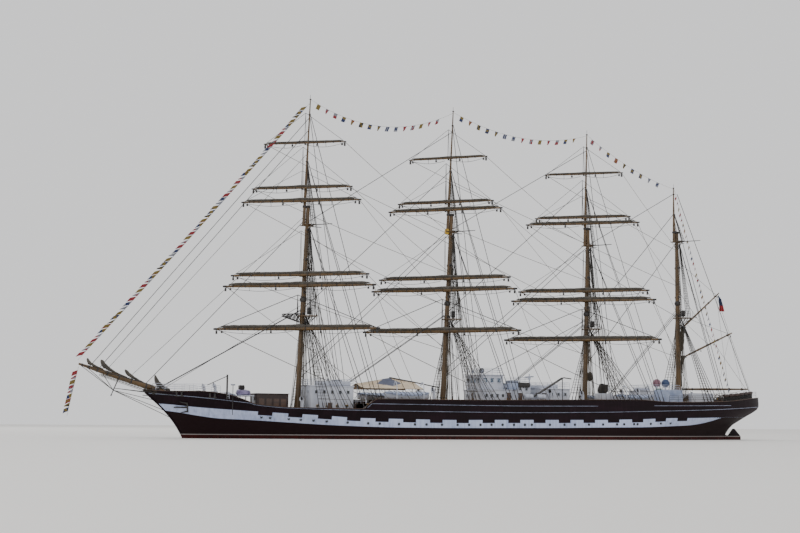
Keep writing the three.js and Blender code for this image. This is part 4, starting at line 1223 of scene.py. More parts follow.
for name, seed in (("bundle", 2.0), ("throat", 5.0)):
    bm = bmesh.new()
    addRolled(bm, brailLook["steps"], brailLook["around"], brailPoint(brailLook[name], seed))
    brailed = newPiece(f"spanker_{name}", bm, ["sail"], crease=80)
print("spanker done")

# Bowsprit with its net, whiskers, dolphin striker, and the headsails stowed on it

bowLook = {"slope": 0.31, "tip": 55.97, "heelX": 43.6, "radius": 0.36, "taper": (1, 1, 0.9, 0.4),
    "bands": (45.0, 46.6, 48.7, 50.4, 52.0, 53.4, 54.6, 55.5), "striker": (51.1, 0, 6.55),
    "whisker": (46.6, 3.3, 7.3), "netX": 45.4, "netLong": 7.6, "netHalf": 1.5, "mesh": 0.42,
    "cords": (0, 0.25, 0.5, 0.75, 1.0)}


def bowspritRadius(x):
    share = (x - bowLook["heelX"]) / (bowLook["tip"] - bowLook["heelX"])
    return bowLook["radius"] * readCurve([(i / 3, t) for i, t in enumerate(bowLook["taper"])], share)


bm = bmesh.new()
start, end = onBowsprit(bowLook["heelX"]), onBowsprit(bowLook["tip"])
length = (end - start).length
rows = [(length * i / 12, bowspritRadius(bowLook["heelX"] + 12.37 * i / 12)) for i in range(13)]
addTurned(bm, start, end, [(0, 0), *rows, (length, 0)], 20)
addBox(bm, (43.6, -0.3, deckAt(44) - 0.02), (44.5, 0.3, onBowsprit(44).z), 1, 0.04)
for x in bowLook["bands"]:
    at = onBowsprit(x)
    addTurned(bm, at, at + spot(1, 0, bowLook["slope"]).normalized(),
        drum(-0.09, 0.09, bowspritRadius(x) + 0.04), 20, 1)
strikerFoot = Vector(bowLook["striker"])
addTurned(bm, onBowsprit(50.35), strikerFoot,
    [(0, 0), (0, 0.09), (2.6, 0.06), (2.62, 0.1), (2.8, 0.08), (2.8, 0)], 12, 1)
stayChains = [[spot(readCurve(stemLine, foot) + 0.1, 0, foot), strikerFoot] for foot in (5.3, 3.9, 2.9)]
stayChains += [[strikerFoot, onBowsprit(x, -bowspritRadius(x))] for x in (52.6, 54.6, 55.6)]
for side in (1, -1):
    whisker = Vector(bowLook["whisker"]) * spot(1, side, 1)
    addRod(bm, (45.9, side * 0.3, 6.7), whisker, 0.07, 0.045, 10, 1)
    stayChains += [[onSide(42.6, railAt(42.6) - 0.3, side), whisker],
        [onSide(43.0, 6.0, side), strikerFoot + upward * 0.3]]
    stayChains += [[whisker, onBowsprit(x) + spot(0, side * y, 0)] for x, y in ((52.6, 0.2), (55.4, 0.12))]
newPiece("bowsprit_spar", bm, ["spar", "iron"], ("bowsprit",))
newRopes("bobstays_and_guys", stayChains, 0.045, fine=1)


def netPoint(x, out, side):
    reach = 0.25 + out * bowLook["netHalf"] * (1 - (x - bowLook["netX"]) / 11)
    return onBowsprit(x) + spot(0, side * reach, -0.18 - 0.5 * sin(pi * min(out, 1) * 0.8))


net = []
netXs = [bowLook["netX"] + i * bowLook["mesh"] for i in range(int(bowLook["netLong"] / bowLook["mesh"]) + 1)]
for side in (1, -1):
    net += [[netPoint(x, out, side) for x in netXs] for out in bowLook["cords"]]
    net += [[netPoint(x, out, side) for out in bowLook["cords"]] for x in netXs]
    net.append([netPoint(x, 1.0, side) + upward * 0.05 for x in netXs])
newRopes("bowsprit_net", net, 0.014, "rope")

headsails = {
    # fore end of the bundle, its length, its height over the bowsprit at the fore end, radius there and aft
    "flying_jib": (54.9, 2.4, 0.4, 0.44, 0.1), "outer_jib": (53.0, 3.8, 0.55, 0.62, 0.06),
    "inner_jib": (49.6, 3.8, 0.45, 0.5, 0.05), "staysail": (45.4, 2.3, 0.7, 0.75, 0.25),
}


def headsailPoint(x, length, rise, fore, aft, seed):
    def place(u, v):
        turn = tau * (v % 1)
        ends = min(u / 0.1, (1 - u) / 0.1, 1) ** 0.6
        radius = aft + (fore - aft) * (1 - u) ** 2.2
        swell = radius * (0.25 + 0.75 * ends) * (1 + 0.25 * noise.noise(spot(u * 6, seed, cos(turn))))
        swell *= 1 - 0.25 * max(cos(tau * u * length / 0.7), 0) ** 8
        at = onBowsprit(x - length * u)
        lift = bowspritRadius(at.x) + radius * 0.8 + rise * (1 - u) ** 4
        return at + spot(0, cos(turn) * swell * 0.9, lift + sin(turn) * swell)
    return place


for i, (name, shape) in enumerate(headsails.items()):
    bm = bmesh.new()
    addRolled(bm, 34, 14, headsailPoint(*shape, i * 3.1))
    bundle = newPiece(f"{name}_bundle", bm, ["sail"], crease=80)
print("bowsprit done")

# Rudder and propellers

rudderLook = {"edge": [(-52.17, -6.5), (-52.17, 0.45), (-53.4, 1.85), (-53.72, 1.85), (-54.95, 0.6),
    (-54.93, -5.0), (-54.45, -6.5)], "half": 0.13, "straps": (-5.6, -4.2, -2.9, -1.6, -0.4)}
bm = bmesh.new()
blade = bm.faces.new([bm.verts.new((x, -rudderLook["half"], z)) for x, z in rudderLook["edge"]])
made = ops.extrude_face_region(bm, geom=[blade])["geom"]
ops.translate(bm, vec=(0, rudderLook["half"] * 2, 0), verts=vertsIn(made))
ops.recalc_face_normals(bm, faces=bm.faces)
ops.bevel(bm, geom=list(bm.edges), offset=0.05, segments=2, profile=0.5, affect="EDGES", material=-1)
for z in rudderLook["straps"]:
    for side in (1, -1):
        addBox(bm, (-54.6, side * 0.13 - 0.03, z - 0.09), (-52.2, side * 0.13 + 0.03, z + 0.09), soft=0.02)
addPost(bm, (-52.25, 0, -6.4), [(0, 0), (0, 0.16), (6.7, 0.16), (6.7, 0.22), (7.14, 0.22), (7.14, 0)], 16)
newPiece("rudder_blade", bm, ["keel"], ("rudder",), "rudder")

propellerLook = {"x": -48.504, "y": 2.2, "z": -4.5, "radius": 1.25, "blades": 4, "width": 0.36, "pitch": 32}


def bladePoint(hand):
    def place(u, v):
        r = 0.2 + (propellerLook["radius"] - 0.2) * u
        half = propellerLook["width"] * sin(pi * min(0.16 + 0.84 * u, 0.999)) ** 0.55 * (1.05 - 0.25 * u)
        twist = radians(propellerLook["pitch"] + 26 * (1 - u)) * hand
        across = (2 * v - 1) * half
        cup = 0.05 * (1 - (2 * v - 1) ** 2)
        return spot(across * sin(twist) + cup, across * cos(twist), r)
    return place


for side, hand in (("port", 1), ("starboard", -1)):
    bm = bmesh.new()
    for i in range(propellerLook["blades"]):
        verts = connected(addMapped(bm, 14, 8, bladePoint(hand), thick=0.045)[0])
        ops.rotate(bm, cent=(0, 0, 0), matrix=Matrix.Rotation(tau * i / propellerLook["blades"], 3, "X"),
            verts=verts)
    ops.translate(bm, vec=(-0.35, 0, 0), verts=bm.verts)
    ops.recalc_face_normals(bm, faces=bm.faces)
    addTurned(bm, (0, 0, 0), (-1, 0, 0), [(0, 0), (0, 0.3), (0.1, 0.32), (0.6, 0.3), (0.85, 0.17), (0.95, 0)],
        20)
    ops.translate(bm, vec=(propellerLook["x"], hand * propellerLook["y"], propellerLook["z"]), verts=bm.verts)
    newPiece(f"propeller_{side}_blades", bm, ["bronze"], (f"propeller_{side}",),
        f"propeller_{side}")
print("rudder and propellers done")

# Deckhouses

houseLook = {"overhang": 0.12, "roofThick": 0.09, "corner": 0.06, "skirt": 0.16}
houseRows = {  # windows: height and number in each row; the doors' places along each side, port first
    "fore_deckhouse": {"fore": 23.1, "aft": 16.4, "half": 2.6, "roof": 7.8, "camber": 0.12, "floor": 3.1,
        "rows": ((6.75, 5), (4.75, 4)), "door": 0.55, "stands": ("fore_deckhouse",)},
    "bridge_house": {"fore": -4.5, "aft": -9.6, "half": 3.2, "roof": 7.6, "camber": 0.0, "floor": 5.0,
        "rows": ((6.65, 5),), "door": 0.12, "stands": ("bridge_house",)},
    "chart_house": {"fore": -9.58, "aft": -13.3, "half": 2.4, "roof": 8.67, "camber": 0.12, "floor": 5.0,
        "rows": ((7.75, 3),), "door": 0.5, "stands": ()},
    "midship_house": {"fore": -14.6, "aft": -20.0, "half": 3.0, "roof": 8.0, "camber": 0.12, "floor": 5.0,
        "rows": ((7.0, 4),), "door": 0.88, "stands": ("midship_house",)},
    "poop_house": {"fore": -34.7, "aft": -40.9, "half": 2.8, "roof": 8.0, "camber": 0.12, "floor": 5.2,
        "rows": ((7.0, 5),), "door": 0.1, "stands": ("poop_house",)},
}


def setOn(bm, verts, at, out):  # turns across, up and out of a wall from X, Y and Z, and moves there
    out = Vector(out).normalized()
    turn = Matrix((upward.cross(out), upward, out)).transposed()
    ops.transform(bm, matrix=Matrix.Translation(at) @ turn.to_4x4(), verts=verts)


def addWindow(bm, at, out, width, height, rim=0, pane=1):
    verts = addBox(bm, (-width / 2, -height / 2, -0.02), (width / 2, height / 2, 0.02), pane)
    for side in (1, -1):
        x, z = side * width / 2, side * height / 2
        verts += addBox(bm, (x - 0.045, -height / 2 - 0.045, 0), (x + 0.045, height / 2 + 0.045, 0.06), rim,
            0.012)
        verts += addBox(bm, (-width / 2, z - 0.045, 0), (width / 2, z + 0.045, 0.05), rim, 0.012)
    setOn(bm, verts, at, out)


def addRoundLight(bm, at, out, radius=0.17):
    verts = addPost(bm, (0, 0, 0), [(-0.01, 0), (-0.01, radius + 0.05), (0.04, radius + 0.05), (0.06, radius),
        (0.02, radius - 0.02), (0.02, 0)], 14, 3)
    verts += addPost(bm, (0, 0, 0.012), drum(0, 0.015, radius - 0.02), 14, 1)
    setOn(bm, verts, at, out)


def addDoor(bm, at, out):
    half, high = 0.425, 1.9
    verts = addBox(bm, (-half, 0.2, 0), (half, 0.2 + high, 0.06), 2, 0.02)
    for side in (1, -1):
        verts += addBox(bm, (side * half - 0.05, 0.12, 0), (side * half + 0.05, high + 0.3, 0.09), 0, 0.015)
        verts += addBox(bm, (0.02 - half, 0.75 + side * 0.35, 0.05), (0.16 - half, 0.85 + side * 0.35, 0.11),
            3)
    verts += addBox(bm, (-half, high + 0.18, 0), (half, high + 0.3, 0.09), 0, 0.015)
    verts += addBox(bm, (-half - 0.05, 0.08, 0), (half + 0.05, 0.2, 0.14), 0, 0.015)
    verts += addRod(bm, (half - 0.14, 1.1, 0.06), (half - 0.14, 1.1, 0.14), 0.03, finish=3)
    verts += addRod(bm, (half - 0.26, 1.1, 0.13), (half - 0.1, 1.1, 0.13), 0.022, finish=3)
    setOn(bm, verts, at, out)


def buildHouse(row):
    bm = bmesh.new()
    over, long = houseLook["overhang"], row["fore"] - row["aft"]

    def roofPoint(u, v):
        y = (2 * v - 1) * (row["half"] + over)
        return spot(row["aft"] - over + (long + 2 * over) * u, y,
            row["roof"] - row["camber"] * (y / row["half"]) ** 2)

    wall = row["roof"] - row["camber"] - 0.02
    addBox(bm, (row["aft"], -row["half"], row["floor"]), (row["fore"], row["half"], wall), 0,
        houseLook["corner"])
    addMapped(bm, 6, 10, roofPoint, thick=houseLook["roofThick"])
    upperZ = row["rows"][0][0]
    for side in (1, -1):
        y = side * row["half"]
        for z, count in row["rows"]:
            for i in range(count):
                at = (row["aft"] + long * (i + 0.7) / (count + 0.4), y, z)
                if z == upperZ:
                    addWindow(bm, at, (0, side, 0), 0.5, 0.55)
                else:
                    addRoundLight(bm, at, (0, side, 0))
        addDoor(bm, (row["aft"] + long * row["door"], y, row["floor"] + 0.05), (0, side, 0))
        addBox(bm, (row["aft"] - 0.02, y, row["floor"]),
            (row["fore"] + 0.02, y + side * 0.03, row["floor"] + houseLook["skirt"]), 2)
    for end, x in ((1, row["fore"]), (-1, row["aft"])):
        for y in (-row["half"] * 0.62, row["half"] * 0.62):
            addWindow(bm, (x, y, upperZ), (end, 0, 0), 0.5, 0.55)
        addDoor(bm, (x, 0, row["floor"] + 0.05), (end, 0, 0))
    return bm


for name, row in houseRows.items():
    newPiece(f"{name}_walls", buildHouse(row), ["white", "glass", "teak", "brass"],
        row["stands"])

# The wheelhouse is hollow, with its windows cut and glazed

wheelhouse = {"fore": -4.6, "aft": -8.4, "half": 2.5, "floor": 7.604, "roof": 9.77, "wall": 0.12,
    "brow": 0.25, "sill": 8.604, "head": 9.354, "window": 0.72, "endYs": (-1.74, -0.58, 0.58, 1.74),
    "sideXs": (-7.7, -6.5, -5.3), "binnacle": [(0, 0), (0, 0.22), (0.1, 0.16), (0.8, 0.14), (0.85, 0.22),
    (1.05, 0.22), (1.15, 0)]}


def glassAt(face):  # whether a cut face of the walls is one of the windows
    at, reach = face.calc_center_median(), wheelhouse["window"] / 2
    onEnd = abs(face.normal.x) > 0.5 and any(abs(at.y - y) < reach for y in wheelhouse["endYs"])
    onWall = abs(face.normal.y) > 0.5 and any(abs(at.x - x) < reach for x in wheelhouse["sideXs"])
    return (onEnd or onWall) and wheelhouse["sill"] < at.z < wheelhouse["head"]


def buildWheelhouse():
    bm = bmesh.new()
    aft, fore, half, floor, roof, sill, head, wide, brow = [
        wheelhouse[key] for key in ("aft", "fore", "half", "floor", "roof", "sill", "head", "window", "brow")]
    addBox(bm, (aft, -half, floor), (fore, half, roof))
    cuts = [((0, 0, z), (0, 0, 1)) for z in (sill, head)]
    cuts += [((0, y + d * wide / 2, 0), (0, 1, 0)) for y in wheelhouse["endYs"] for d in (1, -1)]
    cuts += [((x + d * wide / 2, 0, 0), (1, 0, 0)) for x in wheelhouse["sideXs"] for d in (1, -1)]
    for place, normal in cuts:
        ops.bisect_plane(bm, geom=[*bm.verts, *bm.edges, *bm.faces], plane_co=place, plane_no=normal)
    ops.delete(bm, geom=[face for face in bm.faces if glassAt(face)], context="FACES")
    ops.solidify(bm, geom=list(bm.faces), thickness=wheelhouse["wall"])
    panes = [((x, y, (sill + head) / 2), (end, 0, 0)) for end, x in ((1, fore), (-1, aft))
        for y in wheelhouse["endYs"]]
    panes += [((x, side * half, (sill + head) / 2), (0, side, 0)) for side in (1, -1)
        for x in wheelhouse["sideXs"]]
    for at, out in panes:
        addWindow(bm, at, out, wide, head - sill)
    addBox(bm, (aft - brow, -half - brow, roof - 0.03), (fore + brow, half + brow, roof + 0.1), 0, 0.04)
    addBox(bm, (fore - 0.9, -1.5, floor + 0.12), (fore - 0.35, 1.5, floor + 0.95), 2, 0.04)
    addPost(bm, (fore - 1.5, 0, floor + 0.12), wheelhouse["binnacle"], 16, 3)
    return bm


newPiece("wheelhouse_cabin", buildWheelhouse(), ["white", "pane", "teak", "brass"],
    ("wheelhouse",))
print("houses done")

# Boats with their covers, on chocks under davits

boatLook = {"length": 7.2, "half": 1.15, "height": 1.15, "crown": 0.35, "x": {"fore": 9.0, "aft": -30.4},
    "y": 5.2, "keelUp": 0.45, "coverSkirt": 0.2, "coverProud": 0.05, "davitOut": 1.9, "davitHigh": 3.3}


def boatBreadth(share, z):  # share from -1 to 1 along the boat, z over its keel
    plan = max(1 - abs(share) ** 2.4, 0) ** 0.62
    section = min(max(z / boatLook["height"], 0) ** 0.42, 1)
    return boatLook["half"] * plan * section


def boatSheer(share):
    return boatLook["height"] * (0.88 + 0.3 * share * share)


def boatPoint(u, v):
    share = 2 * u - 1
    side = 2 * v - 1
    rise = abs(side) ** 1.2
    keel = 0.5 * abs(share) ** 3.5
    z = keel + (boatSheer(share) - keel) * rise
    breadth = boatBreadth(share * 0.999, z - keel * 0.7) * (1 if side > 0 else -1) * min(abs(side) * 3, 1)
    return spot(share * boatLook["length"] / 2, breadth, z)


def coverPoint(u, v):
    share = (2 * u - 1) * 0.985
    turn = (2 * v - 1)
    sheer = boatSheer(share)
    half = boatBreadth(share, sheer) + boatLook["coverProud"]
    ridge = boatLook["crown"] * (1 - abs(share) ** 3) + 0.05
    if abs(turn) > 0.8:
        drop = (abs(turn) - 0.8) / 0.2 * boatLook["coverSkirt"]
        wave = 0.012 * sin(u * 60)
        return spot(share * boatLook["length"] / 2, copysign(half + wave, turn), sheer + 0.03 - drop)
    t = turn / 0.8
    sag = 0.03 * cos(tau * u * 5) * (1 - abs(t)) * abs(t) * 2
    return spot(share * boatLook["length"] / 2, t * half, sheer + 0.03 + ridge * (1 - abs(t) ** 1.15) - sag)


def davitLines(x, y, side, deck):
    lines = []
    for end in (-0.3, 0.3):
        foot = spot(x + end * boatLook["length"], side * (abs(y) + 1.25), deck)
        points = [foot, foot + upward * boatLook["davitHigh"] * 0.72]
        for i in range(1, 7):
            turn = pi * i / 7
            points.append(foot + spot(0, -side * boatLook["davitOut"] * 0.5 * (1 - cos(turn)) * 0.62,
                boatLook["davitHigh"] * (0.72 + 0.28 * sin(turn))))
        lines.append(points)
    return lines


def buildBoat(up):
    bm = bmesh.new()
    verts = addMapped(bm, 30, 16, boatPoint)
    ops.remove_doubles(bm, verts=verts, dist=0.006)
    ops.recalc_face_normals(bm, faces=bm.faces)
    ops.solidify(bm, geom=list(bm.faces), thickness=0.04)
    shares = [i / 10 - 1 for i in range(21)]
    for side in (1, -1):
        rub = [(s * 3.6, side * (boatBreadth(s * 0.999, boatSheer(s)) + 0.02), boatSheer(s) - 0.06)
            for s in shares]
        for pair in zip(rub, rub[1:]):
            addRod(bm, *pair, 0.045, sides=6, finish=1)
    addBox(bm, (-3.2, -0.05, -0.06), (3.2, 0.05, 0.08), 1, 0.02)
    for reach in (-boatLook["length"] / 4, boatLook["length"] / 4):
        addBox(bm, (reach - 0.1, -0.7, -up), (reach + 0.1, 0.7, -0.15), 1, 0.02)
        for side in (1, -1):
            addBox(bm, (reach - 0.1, side * 0.62 - 0.1, -0.2), (reach + 0.1, side * 0.62 + 0.1, 0.32), 1,
                0.02)
    return bm


for row, x in boatLook["x"].items():
    for name, side in (("port", 1), ("starboard", -1)):
        boat, deck = f"{row}_boat_{name}", min(deckAt(x - 2), deckAt(x + 2), deckAt(x))
        at = spot(x, side * boatLook["y"], deck + boatLook["keelUp"])
        bm = buildBoat(boatLook["keelUp"])
        ops.translate(bm, vec=at, verts=bm.verts)
        hull = newPiece(f"{boat}_hull", bm, ["white", "teak"], (boat,))
        bm = bmesh.new()
        addMapped(bm, 60, 20, coverPoint)
        ops.recalc_face_normals(bm, faces=bm.faces)
        ops.translate(bm, vec=at, verts=bm.verts)
        cover = newPiece(f"{boat}_cover", bm, ["cover"], crease=60)
        lashings = [[at + coverPoint(0.12 + 0.095 * i, k / 16) + upward * 0.015 for k in range(17)]
            for i in range(9)]
        newRopes(f"{boat}_lashings", lashings, 0.05)
        newRopes(f"{boat}_davits", davitLines(x, boatLook["y"], side, deck), 0.075, "white", 2)
print("boats done")

# Ridged awning ahead of the main mast

# the diamond of painted shade near the peak is placed by x, half length, place across and half width
awningLook = {"fore": 15.1, "aft": 5.5, "half": 3.6, "eaves": 7.39, "posts": (14.8, 10.3, 5.8), "peak": 9.6,
    "ridge": [(5.5, 8.46), (9.6, 9.12), (15.1, 8.16)], "sag": 0.06, "paintedShadePatch": (10.1, 2.1, 0.3, 0.42),
    "stays": (5.7, 8.0, 10.3, 12.6, 14.9)}


def awningRidge(x):
    i = 0 if x < awningLook["peak"] else 1
    (low, start), (high, end) = awningLook["ridge"][i:i + 2]
    return start + (end - start) * (x - low) / (high - low)


def awningPoint(u, v):
    x = awningLook["aft"] + (awningLook["fore"] - awningLook["aft"]) * u
    t, bay, ridge = abs(2 * v - 1), abs(sin(tau * u)), awningRidge(x)
    z = ridge + (awningLook["eaves"] - ridge) * t
    z -= awningLook["sag"] * bay * (1 - t) + 0.12 * sin(pi * t) * (0.6 + 0.4 * bay)
    z += 0.015 * noise.noise(spot(x * 1.5, v * 14, 0))
    return spot(x, copysign(t * (awningLook["half"] - 0.12 * bay * t), v - 0.5), z)


bm = bmesh.new()
# faces in a diamond near the peak take the darker cloth, painted shade on that facet
for face in facesOf(addMapped(bm, 70, 44, awningPoint)):
    at = face.calc_center_median()
    x, halfLong, t, halfWide = awningLook["paintedShadePatch"]
    onShadePatch = abs(at.x - x) / halfLong + abs(at.y / awningLook["half"] - t) / halfWide < 1
    face.material_index = 1 if onShadePatch else 0
awningCloth = newPiece("awning_cloth", bm, ["awning", "paintedShadePatch"], crease=60)
bm = bmesh.new()
for x in awningLook["posts"]:
    tall = awningLook["eaves"] - deckAt(x)
    for side in (1, -1):
        addPost(bm, (x, side * (awningLook["half"] - 0.15), deckAt(x)),
            [(0, 0), (0, 0.13), (0.04, 0.13), (0.06, 0.06), (tall - 0.05, 0.05), (tall, 0)], 10)
    addRod(bm, (x, 0, awningRidge(x) - 0.16), (x, 0, deckAt(x)), 0.06)
ridgePoints = [(x, 0, z - 0.1) for x, z in awningLook["ridge"]]
for start, end in zip(ridgePoints, ridgePoints[1:]):
    addRod(bm, start, end, 0.06, finish=1)
newPiece("awning_frame", bm, ["white", "teak"], ("awning",))
edges = [[awningPoint(i / 40, v) - upward * 0.01 for i in range(41)] for v in (0.0, 1.0)]
edges += [[awningPoint(u, i / 30) - upward * 0.01 for i in range(31)] for u in (0.0, 1.0)]
edges += [[(x, side * 3.5, 7.38), (x, side * 6.85, railAt(x))] for side in (1, -1)
    for x in awningLook["stays"]]
newRopes("awning_bolt_ropes", edges, 0.03, "rope")
newRopes("awning_ridge_rope", [[(awningLook["peak"], 0, 9.16), (5.5, 0, 8.52), (2.3, 0, 7.95),
    (1.3, 0, 7.8)]], 0.09, fine=1)
print("awning done")

# Deck gear

gearLook = {"fifeHigh": 0.95, "pinEvery": 0.28}


def addVentilator(bm, x, y, height, radius, turn):
    foot, straight = spot(x, y, deckAt(x)), height - 0.35
    addPost(bm, foot, [(0, 0), (0, radius * 1.35), (0.06, radius * 1.35), (0.1, radius), (straight, radius),
        (straight, 0)], 14)
    along = spot(cos(turn), sin(turn), 0)
    rings = []
    for i in range(6):
        a, size = pi / 2 * i / 5, radius * (1 + 0.9 * (i / 5) ** 2)
        centre = foot + upward * (straight + 0.3 * sin(a)) + along * 0.3 * (1 - cos(a))
        way = (along * sin(a) + upward * cos(a)).normalized()
        rings.append(ops.create_circle(bm, cap_ends=False, segments=14, radius=size,
            matrix=aimed(centre, centre + way))["verts"])
    for low, high in zip(rings, rings[1:]):
        ops.bridge_loops(bm, edges=edgesWithin(low) + edgesWithin(high))
    lip = ops.extrude_edge_only(bm, edges=edgesWithin(rings[-1]))["geom"]
    for vert in vertsIn(lip):
        vert.co = centre - way * 0.16 + (vert.co - centre) * 0.82
    rim = [item for item in lip if isinstance(item, bmesh.types.BMEdge)]
    for face in ops.holes_fill(bm, edges=rim, sides=20)["faces"]:
        face.material_index = 1
    shell = connected(rings[0][0])
    ops.holes_fill(bm, edges=[edge for edge in edgesOf(shell) if edge.is_boundary], sides=20)
    ops.recalc_face_normals(bm, faces=facesOf(shell))


def addWinch(bm, x, size):
    at = spot(x, 0, deckAt(x))
    axle, reach = at + upward * 0.6 * size, spot(0, size / 2, 0)
    addBox(bm, at - spot(0.7, 0.75, 0) * size, at + spot(0.7, 0.75, 0.12) * size, 1, 0.03)
    for side in (1, -1):
        cheek = side * 0.55 * size
        addBox(bm, at + spot(-0.45 * size, cheek - 0.05, 0.1),
            at + spot(0.45 * size, cheek + 0.05, 0.95 * size), 5, 0.04)
        end = [(0, 0), (0, 0.16), (0.05 / size, 0.2), (0.2, 0.12), (0.35, 0.22), (0.4, 0)]
        addTurned(bm, axle + reach * side * 1.2, axle + reach * side * 2,
            [(a * size, r * size) for a, r in end], 16, 1)
    barrel = [(0, 0), (0, 0.36), (0.06 / size, 0.36), (0.06 / size, 0.22), (0.94, 0.22), (0.94, 0.36),
        (1, 0.36), (1, 0)]
    addTurned(bm, axle - reach, axle + reach, [(a * size, r * size) for a, r in barrel], 20, 5)
    addRod(bm, at + spot(-0.35, -0.55, 0.3) * size, at + spot(-0.35, 0.55, 0.3) * size, 0.09 * size, finish=1)


def addBollards(bm, x, y):
    at = spot(x, y, deckAt(x))
    addBox(bm, at - spot(0.6, 0.18, 0), at + spot(0.6, 0.18, 0.08), 1, 0.02)
    for off in (-0.35, 0.35):
        addPost(bm, at + spot(off, 0, 0.06),
            [(0, 0), (0, 0.13), (0.42, 0.12), (0.46, 0.17), (0.54, 0.17), (0.58, 0)], 14, 1)


def addSkylight(bm, x, length, half, base, high, panes):
    eaves, rise, wide = base + high * 0.55, high * 0.45, length / panes
    addBox(bm, (x - length / 2, -half, base), (x + length / 2, half, eaves), 0, 0.04)
    slope = spot(0, half, rise).length
    for side in (1, -1):
        up, out = spot(0, -side * half, rise).normalized(), spot(0, side * rise, half).normalized()
        turn = Matrix((spot(side, 0, 0), up, out)).transposed().to_4x4()
        for i in range(panes):
            verts = addBox(bm, (0.03 - wide / 2, 0, 0), (wide / 2 - 0.03, slope, 0.06), 2, 0.015)
            verts += addBox(bm, (0.12 - wide / 2, 0.12, 0.03), (wide / 2 - 0.12, slope - 0.12, 0.08), 6)
            for k in range(1, 4):
                y = slope * k / 4
                verts += addRod(bm, (0.1 - wide / 2, y, 0.1), (wide / 2 - 0.1, y, 0.1), 0.018, sides=6,
                    finish=3)
            at = (x + length * ((i + 0.5) / panes - 0.5), side * half, eaves)
            ops.transform(bm, matrix=Matrix.Translation(at) @ turn, verts=verts)
    for end in (1, -1):
        corners = ((-half, eaves), (half, eaves), (0, base + high))
        tip = [bm.verts.new((x + end * (length / 2 - 0.03), y, z)) for y, z in corners]
        made = ops.extrude_face_region(bm, geom=[bm.faces.new(tip)])["geom"]
        ops.translate(bm, vec=(-end * 0.06, 0, 0), verts=vertsIn(made))
        shell = connected(tip[0])
        ops.recalc_face_normals(bm, faces=facesOf(shell))
        paintFaces(shell, 2)


def addFife(bm, x, y, half, base, run=(0, 1, 0)):  # a pin rail on two stanchions, with its belaying pins
    at, run = spot(x, y, base), Vector(run)
    corner = spot(0.09, 0.09, 0) + run * (half - 0.09)
    addBox(bm, at - corner + upward * (gearLook["fifeHigh"] - 0.1),
        at + corner + upward * gearLook["fifeHigh"], 2, 0.02)
    for end in (-0.85, 0.85):
        addPost(bm, at + run * half * end,
            [(0, 0), (0, 0.1), (0.1, 0.1), (0.16, 0.06), (0.6, 0.08), (0.75, 0.06), (0.86, 0.06), (0.86, 0)],
            10, 2)
    count = int(half * 1.7 / gearLook["pinEvery"])
    for i in range(count):
        foot = at + run * (half * 0.85 * (2 * (i + 0.5) / count - 1)) + upward * (gearLook["fifeHigh"] - 0.28)
        addPost(bm, foot, [(0, 0), (0, 0.018), (0.28, 0.02), (0.29, 0.032), (0.44, 0.028), (0.48, 0)], 6, 3)


fittingLooks = ["white", "iron", "teak", "brass", "brown", "grey", "glass", "cover"]


def fittings(name, add, rows, stands=()):
    bm = bmesh.new()
    for row in rows:
        add(bm, *row)
    newPiece(name, bm, fittingLooks, stands)


def addHatchHouse(bm, fore, aft, half, roof):
    addBox(bm, (aft, -half, deckAt(31) - 0.05), (fore, half, roof - 0.08), 4, 0.05)
    addBox(bm, (aft - 0.1, -half - 0.1, roof - 0.1), (fore + 0.1, half + 0.1, roof), 4, 0.03)
    for side in (1, -1):
        for i in range(4):
            x = aft + 0.75 + 1.1 * i
            addBox(bm, (x - 0.4, side * half - 0.03, 4.0), (x + 0.4, side * half + 0.03, 5.7), 2, 0.02)
    for y in (-0.8, 0.8):
        addBox(bm, (fore - 0.02, y - 0.4, 3.5), (fore + 0.05, y + 0.4, 5.4), 2, 0.03)


def addHatch(bm, aft, fore, half, base, high):
    addBox(bm, (aft, -half, base), (fore, half, base + high), 0, 0.06)
    for i in range(int((fore - aft) / 0.52)):
        x = aft + i * 0.52
        addBox(bm, (x + 0.02, 0.05 - half, base + high - 0.02), (x + 0.46, half - 0.05, base + high + 0.08),
            2, 0.03)


fittings("varnished_hatch_house", addHatchHouse, [(30.9, 26.1, 1.6, 6.45)])
fittings("cargo_hatch", addHatch, [(31.8, 34.0, 1.5, 3.2, 1.0)])
fittings("winches", addWinch, [(35.1, 0.75), (36.9, 1.15), (3.0, 0.9), (-21.6, 0.9)])
bollardSpots = [(38.2, 4.2), (42.5, 2.6), (13.5, 5.6), (-13.0, 5.6), (-33.5, 5.6), (-46.5, 4.4), (-54.2, 2.9)]
fittings("bollards", addBollards, [(x, side * y) for x, y in bollardSpots for side in (1, -1)])
cowls = [(37.4, 2.8, 1.9, 0.2, 0.0), (24.6, 3.4, 2.6, 0.2, 0.4), (3.4, 2.6, 2.4, 0.24, 0.0),
    (-16.0, 3.9, 2.4, 0.22, 0.3), (-22.6, 2.6, 2.2, 0.22, 0.0), (-33.2, 2.4, 2.6, 0.22, 0.0),
    (-43.6, 2.6, 2.0, 0.2, 0.0)]
fittings("ventilators", addVentilator, [(x, side * y, *row) for x, y, *row in cowls for side in (1, -1)])
poopDeck = deckAt(-46.2) - 0.05
lights = [(-46.2, 3.6, 1.7, poopDeck, 7.32 - poopDeck, 4), (-28.2, 2.6, 1.2, deckAt(-28), 1.4, 3)]
fittings("skylights", addSkylight, lights, ("poop_skylight",))
pinRails = [(m["x"] - 0.2, side * 1.7, 1.1, deckAt(m["x"]), (1, 0, 0)) for m in mastRows.values()
    for side in (1, -1)]
pinRails += [(m["x"] - 1.4, 0, 1.7, deckAt(m["x"] - 1.2)) for name, m in mastRows.items() if name != "main"]
fittings("fife_rails", addFife, pinRails)
print("fittings done")

# Gear that stands on the houses, and amidships

